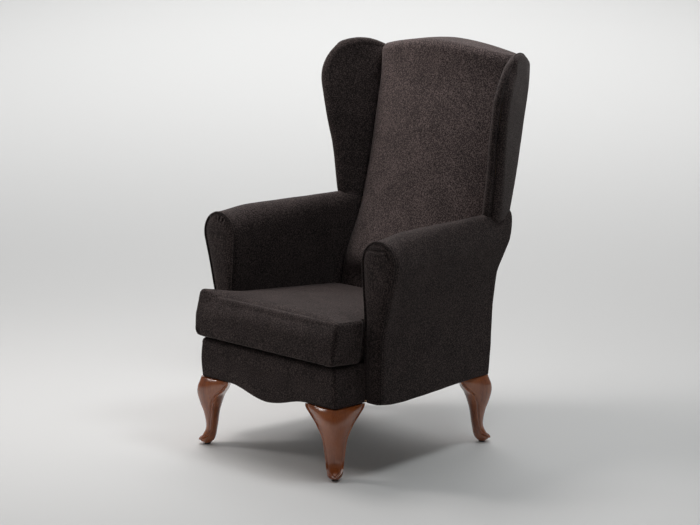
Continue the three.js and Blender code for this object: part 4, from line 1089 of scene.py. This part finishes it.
# Wings: a plywood board on each side of the back, padded on its inner face, with a fat roll round
# its front and top edge. The cloth wraps onto the outer face, where a padded panel covers its end.
WING_FOOT = 0.606
WING_SEAM = 0.633
WING_TOP = 1.074
WING_REACH = 0.200
WING_REAR_TOP = 0.960
WING_INNER_TOP = 1.046
WING_ROLL = 0.025
WING_ROLL_TOP = 0.017
WING_PROUD = 0.008
WING_SLIM_ROLL = 0.0120
WING_VALLEY_BACK = 0.017
WING_VALLEY_OUT = -0.013
WING_PANEL_ROUND = 0.034
WING_MERGE = (0.735, 0.80)
WING_TUCK = 0.0035
WING_FLARE_LOW = 17.8
WING_FLARE_HIGH = 24.6
WING_INNER_REAR = 0.250
WING_INNER_TUCK = 0.0155
WING_ARM_PLAY = 0.0006
WING_EDGE_STEPS = 400
WING_ROWS = 150
WING_PANEL_FACE = -0.002
WING_FOOT_SHARE = 0.05
WING_TOP_DROP = 0.0045
WING_END_SHARE = 0.86
ROLL_STEPS = 22
WING_REACHES = (0.095, 0.07, 0.06, 0.02, 0, 0.01, 0.085, 0.22, 0.385, 0.585, 0.81, 0.98)
WING_RISES = (-0.061, 0, 0.308, 0.481, 0.655, 0.776, 0.866, 0.941, 0.986, 1, 0.982, 0.946)


def flowing(points, count):
    """Evenly spaced places on a smooth curve through points."""
    line = [Vector(p) for p in points]
    line = [2 * line[0] - line[1], *line, 2 * line[-1] - line[-2]]
    fine = []
    for a, b, c, d in zip(line, line[1:], line[2:], line[3:]):
        first = max((b - a).length ** 0.5, 1e-6)
        middle = max((c - b).length ** 0.5, 1e-6)
        final = max((d - c).length ** 0.5, 1e-6)
        start = ((b - a) / first - (c - a) / (first + middle) + (c - b) / middle) * middle
        end = ((c - b) / middle - (d - b) / (middle + final) + (d - c) / final) * middle
        for t in shares(24)[:-1]:
            fine.append(
                (2 * t ** 3 - 3 * t ** 2 + 1) * b + (t ** 3 - 2 * t ** 2 + t) * start
                + (3 * t ** 2 - 2 * t ** 3) * c + (t ** 3 - t ** 2) * end
            )
    fine.append(line[-2])
    fine = np.array([tuple(p) for p in fine])
    run = run_along(fine)
    wanted = np.linspace(0, run[-1], count + 1)
    return np.stack([np.interp(wanted, run, fine[:, k]) for k in range(3)], axis=1)


WING_EDGE = flowing(
    [
        (0, post_back(WING_TOP) - WING_REACH * (1 - reach), mix(WING_SEAM, WING_TOP, rise))
        for reach, rise in zip(WING_REACHES, WING_RISES)
    ],
    WING_EDGE_STEPS,
)


def wing_outer_x(y, z):
    rise = clamp((z - WING_SEAM) / (WING_TOP - WING_SEAM) / 0.78)
    flare = math.radians(mix(WING_FLARE_LOW, WING_FLARE_HIGH, rise))
    return WING_OUTER_REAR + math.tan(flare) * max(post_back(z) - y, 0)


def wing_roll_radius(u):
    return mix(WING_ROLL, WING_ROLL_TOP, smooth(u, 0.55, 0.8))


def wing_line(u, rear_line, rear_top=WING_REAR_TOP):
    """The two ends of the straight line over the wing at a share of its edge, and its length."""
    edge = Vector(WING_EDGE[round(clamp(u) * WING_EDGE_STEPS)])
    z = mix(WING_FOOT, rear_top, u)
    rear = Vector((0, rear_line(z), z))
    return edge, rear, (rear - edge).length


def wing_rear_run(z):
    return post_back(z) - SEAM_GAP


def wing_inner_run(z):
    return inner_line(z) + WING_INNER_TUCK


def over_arm(x, y, z):
    """Lifts a place clear of the arm's roll."""
    s = clamp((y - ARM_BODY_FRONT) / (arm_depth(1, z) - ARM_BODY_FRONT))
    radius = roll_radius(s) + WING_ARM_PLAY
    beside = abs(x) - ARM_INNER_TOP - roll_radius(s)
    if abs(beside) >= radius:
        return z
    height = roll_radius(s) if beside < 0 else roll_fall(s)
    rise = height + roll_swell(s) + WING_ARM_PLAY
    return max(z, ARM_TOP - height + rise * math.sqrt(1 - (beside / radius) ** 2))


def wing_edge_shape(u):
    """Slim roll, and where the outer panel starts, as back from the edge and out from the face."""
    full = wing_roll_radius(u)
    merged = smooth(u, *WING_MERGE)
    slim = mix(WING_SLIM_ROLL, full, merged)
    start_back = mix(WING_VALLEY_BACK, 0, merged)
    start_out = mix(WING_VALLEY_OUT, WING_PROUD - full, merged)
    return full, merged, slim, start_back, start_out


def wing_place(u, back, out, rear_line):
    """A place on the wing from how far back of its edge and how far out from its face it lies."""
    edge, rear, length = wing_line(u, rear_line)
    at = edge.lerp(rear, min(back / length, 1))
    return wing_outer_x(at.y, at.z) + out, at.y, at.z


def wing_roll_line(u):
    """Places round the roll, from its inner side over its tip and into the valley."""
    full, merged, slim, start_back, start_out = wing_edge_shape(u)
    inner_out = WING_PROUD - 2 * full
    end = mix(math.pi, math.pi * 0.56, merged)
    line = []
    for t in shares(2 * ROLL_STEPS):
        angle = t * end
        back, out = slim * (1 - math.sin(angle)), inner_out + slim * (1 - math.cos(angle))
        line.append(wing_place(u, back, out, wing_rear_run))
    for t in shares(5)[1:]:
        valley_back = mix(back, start_back + WING_TUCK, t)
        valley_out = mix(out, start_out - WING_TUCK / 2, math.sqrt(t))
        line.append(wing_place(u, valley_back, valley_out, wing_rear_run))
    return line


def wing_inner_line(u):
    """Places over the inner face, from behind the inner back to the inner side of the roll."""
    full, _, slim, _, _ = wing_edge_shape(u)
    start = wing_place(u, slim, WING_PROUD - 2 * full, wing_inner_run)[0]
    edge, rear, length = wing_line(u, wing_inner_run, WING_INNER_TOP)
    line = []
    for t in shares(26)[1:]:
        at = edge.lerp(rear, mix(slim, length, t) / length)
        line.append((mix(start, WING_INNER_REAR + 0.0006, t), at.y, at.z))
    return line[::-1]


def on_side(side, line):
    """Places on one side of the chair, clear of the arm."""
    return [(side * x, y, over_arm(x, y, z)) for x, y, z in line]


def wing_pad(side_name, side):
    rows = [on_side(side, wing_inner_line(u) + wing_roll_line(u)) for u in shares(WING_ROWS)]
    inside, wave = (side * 0.29, 0.28, 0.85), (0.0010, 0.07, 8 + side)
    pad = cloth_skin(f"wing_cover_{side_name}", rows, inside, wave)
    chair_cloth(pad, 0.7, f"wing_pad_{side_name}")


def wing_panel(side_name, side):
    """The padded outer panel: it swells out of the valley behind the roll and runs to the back."""
    rows = []
    for u in shares(WING_ROWS):
        full, merged, _, start_back, start_out = wing_edge_shape(u)
        length = wing_line(u, wing_rear_run)[2]
        proud = WING_PROUD * math.sin(clamp(u / WING_FOOT_SHARE) * math.pi / 2)
        proud -= WING_TOP_DROP * smooth(u, 0.9, 1)
        deep = min(mix(WING_PANEL_ROUND, full, merged), length * 0.8)
        row = []
        face = max(proud, start_out)
        for rise, fall in quarter(18):
            out = mix(start_out, face, rise)
            row.append(wing_place(u, start_back + deep * fall, out, wing_rear_run))
        for t in shares(34)[1:]:
            end = math.sqrt(1 - clamp((t - WING_END_SHARE) / (1 - WING_END_SHARE)) ** 2)
            out = mix(WING_PANEL_FACE, face, end) * (1 - 0.7 * t * t)
            row.append(wing_place(u, mix(start_back + deep, length, t), out, wing_rear_run))
        rows.append(on_side(side, row))
        rows[-1] += [one[0] for one in turned_in(rows[-1][-1:], side, WING_EDGE_REACH)]
    rows += turned_in(rows[-1], side, WING_EDGE_REACH)
    inside, wave = (side * 0.2, 0.28, 0.8), (0.0006, 0.07, 11 + side)
    panel = cloth_skin(f"wing_panel_{side_name}", rows, inside, wave)
    chair_cloth(panel, 0.5, f"wing_outside_cover_{side_name}")


for side_name, side in LEFT_AND_RIGHT:
    wing_pad(side_name, side)
    wing_panel(side_name, side)

# Seat cushion: a loose boxed cushion. One cloth runs over the top and down the front, with sewn
# side strips, round a foam core, and a zip at the back.
CUSHION_THICKNESS = 0.116
CUSHION_OVERHANG = 0.024
CUSHION_LENGTH = 0.527
CUSHION_HALF_WIDTH = 0.2555
CUSHION_FRONT_HALF_WIDTH = 0.275
CUSHION_FRONT_LENGTH = 0.080
CUSHION_FLARE_LENGTH = 0.022
CUSHION_CROWN = 0.014
CUSHION_SIDE_CROWN = 0.005
CUSHION_FRONT_CROWN = 0.012
CUSHION_SEAM_ROUND = 0.004
CUSHION_FRONT_ROUND = 0.016
CUSHION_EAR = 0.013
CUSHION_EAR_REACH = 0.05
CUSHION_LOW_ROUND = 0.006
LOW_SHARES = (0.2, 0.4, 0.6, 0.8, 0.9, 1)
TOP_SHARES = (0.97, 0.93, 0.88, 0.8, 0.7, 0.6, 0.5, 0.4, 0.3, 0.2, 0.1, 0.05)
CUSHION_FRONT_LEAN = 0.0137
CUSHION_CORNER = 0.009
CUSHION_MIDDLE = CUSHION_LENGTH / 2 - CUSHION_OVERHANG
CUSHION_VOXEL = 0.006
CUSHION_PRESSURE = 4.0
CUSHION_FRAMES = 20
FOAM_CLEARANCE = 0.0014
FREE_SWELL = 0.010
HELD_SWELL = 0.0025
SEAM_DEPTH = 0.0036
SEAM_WIDTH = 0.0030
SEAM_CORD_RADIUS = 0.0011


def cushion_plan():
    """The cushion seen from above, as across and along, once round."""
    rear_reach = CUSHION_HALF_WIDTH - CUSHION_CORNER
    front_reach = CUSHION_FRONT_HALF_WIDTH - CUSHION_CORNER
    rear = CUSHION_LENGTH - CUSHION_OVERHANG
    flare_end = CUSHION_FRONT_LENGTH + CUSHION_FLARE_LENGTH
    half = [(rear_reach * t, rear) for t in shares(24)[:-1]]
    for t in shares(8):
        angle = (1 - t) * math.pi / 2
        along = rear - CUSHION_CORNER + CUSHION_CORNER * math.sin(angle)
        half.append((rear_reach + CUSHION_CORNER * math.cos(angle), along))
    half += [(CUSHION_HALF_WIDTH, mix(rear - CUSHION_CORNER, flare_end, t)) for t in shares(30)[1:]]
    for t in shares(24)[1:]:
        along = mix(flare_end, -CUSHION_OVERHANG + CUSHION_CORNER, t)
        narrow = smooth(along, CUSHION_FRONT_LENGTH, flare_end)
        half.append((mix(CUSHION_FRONT_HALF_WIDTH, CUSHION_HALF_WIDTH, narrow), along))
    for t in shares(8)[1:]:
        angle = t * math.pi / 2
        along = -CUSHION_OVERHANG + CUSHION_CORNER - CUSHION_CORNER * math.sin(angle)
        half.append((front_reach + CUSHION_CORNER * math.cos(angle), along))
    half += [(front_reach * (1 - t), -CUSHION_OVERHANG) for t in shares(24)[1:]]
    return half + [(-x, v) for x, v in half[-2:0:-1]]


def cushion_place(x, v, inset, above, share=1.0):
    """A place on the cushion from one on its plan, pulled in and set at a height."""
    half_length = CUSHION_LENGTH / 2
    reach = share * (1 - inset / CUSHION_HALF_WIDTH)
    along = CUSHION_MIDDLE + (v - CUSHION_MIDDLE) * share * (1 - inset / half_length)
    front = clamp((CUSHION_MIDDLE - along) / half_length) ** 3
    from_ear = math.hypot(x + CUSHION_FRONT_HALF_WIDTH, v + CUSHION_OVERHANG)
    ear = CUSHION_EAR * bell(from_ear, CUSHION_EAR_REACH) if x < 0 else 0
    lift = ear * smooth(above, 0.5 * CUSHION_THICKNESS, CUSHION_THICKNESS) * share ** 6
    lean = CUSHION_FRONT_LEAN * front * above / CUSHION_THICKNESS
    return on_deck(x * reach, along + lean, above + lift)


def cushion_rings():
    plan = []
    for x, v in cushion_plan():
        frontal = smooth(-v, CUSHION_OVERHANG - 0.010, CUSHION_OVERHANG - 0.001)
        frontal *= 1 - clamp(abs(x) / CUSHION_FRONT_HALF_WIDTH) ** 4
        crown = mix(CUSHION_SIDE_CROWN, CUSHION_FRONT_CROWN, frontal)
        plan.append((x, v, crown, mix(CUSHION_SEAM_ROUND, CUSHION_FRONT_ROUND, frontal)))
    low, high, seam = CUSHION_LOW_ROUND, CUSHION_THICKNESS, CUSHION_SIDE_CROWN
    rings = []
    for share in LOW_SHARES:
        rings.append([cushion_place(x, v, seam + low, 0, share) for x, v, _, _ in plan])
    for out, up in quarter(4)[1:]:
        rings.append([cushion_place(x, v, seam + low * (1 - out), low * up) for x, v, _, _ in plan])
    for t in shares(16)[1:]:
        swell = math.sin(math.pi * t)
        rings.append([
            cushion_place(x, v, seam - crown * swell, mix(low, high - turn, t))
            for x, v, crown, turn in plan
        ])
    for up, back in quarter(6)[1:]:
        rings.append([
            cushion_place(x, v, seam + turn * back, high - turn * (1 - up)) for x, v, _, turn in plan
        ])
    for share in TOP_SHARES:
        above = high + CUSHION_CROWN * (1 - share ** 2.4)
        rings.append([cushion_place(x, v, seam + turn, above, share) for x, v, _, turn in plan])
    return rings


def front_corner(side, above):
    """A place on the sewn corner where the front cloth meets a side strip."""
    x = side * (CUSHION_FRONT_HALF_WIDTH - CORNER_SEAM)
    return cushion_place(x, -CUSHION_OVERHANG + CORNER_SEAM, 0.001, above)


def cushion_seams():
    """Places along the sewn seams: up each front corner and along the top of each side strip."""
    places = []
    front, rear = -CUSHION_OVERHANG + CORNER_SEAM, CUSHION_LENGTH - CUSHION_OVERHANG
    for side in (-1, 1):
        places += [front_corner(side, mix(0.004, CUSHION_THICKNESS - 0.002, t)) for t in shares(60)]
        for t in shares(240):
            v = mix(front, rear, t)
            narrow = smooth(v, CUSHION_FRONT_LENGTH, CUSHION_FRONT_LENGTH + CUSHION_FLARE_LENGTH)
            half = mix(CUSHION_FRONT_HALF_WIDTH, CUSHION_HALF_WIDTH, narrow)
            places.append(cushion_place(side * half, v, CUSHION_SIDE_CROWN, CUSHION_THICKNESS - 0.001))
    tree = KDTree(len(places))
    for i, place in enumerate(places):
        tree.insert(place, i)
    tree.balance()
    return tree


def places_of(mesh):
    flat = np.empty(len(mesh.vertices) * 3)
    mesh.vertices.foreach_get("co", flat)
    return flat.reshape(-1, 3)


def swollen(piece, seams):
    """Blows the cover up as simulated cloth held at its seams, with a limit on how far it moves."""
    scene = bpy.context.scene

    def settle():
        graph = bpy.context.evaluated_depsgraph_get()
        return bpy.data.meshes.new_from_object(piece.evaluated_get(graph), depsgraph=graph)

    remesh = piece.modifiers.new("remesh", "REMESH")
    remesh.mode = "VOXEL"
    remesh.voxel_size = CUSHION_VOXEL
    piece.data = settle()
    piece.modifiers.clear()
    start = places_of(piece.data)
    held = piece.vertex_groups.new(name="sewn")
    for i, place in enumerate(start):
        weight = bell(seams.find(Vector(place))[2], 1.5 * CUSHION_VOXEL)
        if weight > 0.05:
            held.add([i], weight, "REPLACE")
    cloth = piece.modifiers.new("cloth", "CLOTH")
    cloth.settings.use_pressure = True
    cloth.settings.uniform_pressure_force = CUSHION_PRESSURE
    cloth.settings.vertex_group_mass = "sewn"
    cloth.settings.effector_weights.gravity = 0
    cloth.point_cache.frame_start = 1
    cloth.point_cache.frame_end = CUSHION_FRAMES
    for frame_number in range(1, CUSHION_FRAMES + 1):
        scene.frame_set(frame_number)
    moved = places_of(settle()) - start
    piece.modifiers.clear()
    piece.vertex_groups.clear()
    scene.frame_set(1)
    limit = np.array([cushion_swell(*place) for place in start])
    length = np.maximum(np.linalg.norm(moved, axis=1), 1e-9)
    eased = limit * np.tanh(length / limit)
    piece.data.vertices.foreach_set("co", (start + moved * (eased / length)[:, None]).ravel())
    piece.data.update()
    finer = piece.modifiers.new("finer", "SUBSURF")
    finer.levels = 1
    piece.data = settle()
    piece.modifiers.clear()
    piece.data.shade_smooth()


def pulled_in(piece, seams):
    """Draws the cloth in along its seams."""
    mesh = piece.data
    places = places_of(mesh)
    for vertex, place in zip(mesh.vertices, places):
        away = seams.find(Vector(place))[2]
        if away < 3 * SEAM_WIDTH:
            vertex.co = Vector(place) - vertex.normal * SEAM_DEPTH * bell(away, SEAM_WIDTH)
    mesh.update()


def surface(piece):
    """A piece's faces in the chair's frame, to find the nearest place on them."""
    places = [piece.matrix_world @ vertex.co for vertex in piece.data.vertices]
    return BVHTree.FromPolygons(places, [tuple(face.vertices) for face in piece.data.polygons])


def clear_of(piece, core):
    """Sets the cloth back out wherever it would sink into its foam."""
    foam = surface(core)
    for vertex in piece.data.vertices:
        nearest, normal, _, _ = foam.find_nearest(vertex.co)
        if (vertex.co - nearest).dot(normal) < FOAM_CLEARANCE:
            vertex.co = nearest + normal * FOAM_CLEARANCE
    piece.data.update()


def cushion_swell(x, y, z):
    """The cover may swell freely at its front and top, and hardly at all where it meets the chair."""
    free_front = 1 - smooth(y, FRONT_LINE, FRONT_LINE + 0.06)
    free_top = smooth(z, 0.395, 0.42) * (1 - smooth(y, 0.0, 0.05)) * (1 - smooth(abs(x), 0.21, 0.25))
    low = smooth(z, BORDER_TOP + 0.010, BORDER_TOP + 0.035)
    return mix(HELD_SWELL, FREE_SWELL, max(free_front * low, free_top))


seat_seams = cushion_seams()
seat_cushion = lofted("seat_cushion_cover", cushion_rings(), cover_cloth, 60)
swollen(seat_cushion, seat_seams)
pulled_in(seat_cushion, seat_seams)
clear_of(seat_cushion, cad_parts["cushion_core"])
cushion_surface = surface(seat_cushion)
placed(seat_cushion, "seat_cushion", "cover_cloth", "cushion_cover")


def corner_seam(side_name, side):
    """The thick sewn edge where the front cloth meets a side strip."""
    heights = [mix(CUSHION_LOW_ROUND, CUSHION_THICKNESS - CUSHION_LOW_ROUND, t) for t in shares(40)]
    line = [cushion_surface.find_nearest(Vector(front_corner(side, above)))[0] for above in heights]
    cord(f"cushion_corner_seam_{side_name}", line, SEAM_CORD_RADIUS, "seat_cushion", "cushion_cover")


for side_name, side in LEFT_AND_RIGHT:
    corner_seam(side_name, side)


def cut_foam():
    finish = Finish("cut_foam", 0.95)
    cells = finish.texture("ShaderNodeTexVoronoi", Scale=900).outputs["Distance"]
    return finish.done(cells, [(0, (0.42, 0.34, 0.17)), (0.6, (0.75, 0.66, 0.42))], cells, 0.0004, 0.5)


def zip_tape():
    finish = Finish("zip_tape", 0.8)
    teeth = finish.texture("ShaderNodeTexWave", Scale=190).outputs["Fac"]
    return finish.done(teeth, [(0.3, grey(0.008)), (0.7, grey(0.05))], teeth, 0.0006, 0.8)


dress(["cushion_core"], cut_foam())
dress(["cushion_zip"], zip_tape())
dress(["zip_slider"], bpy.data.materials["drawn_steel"])
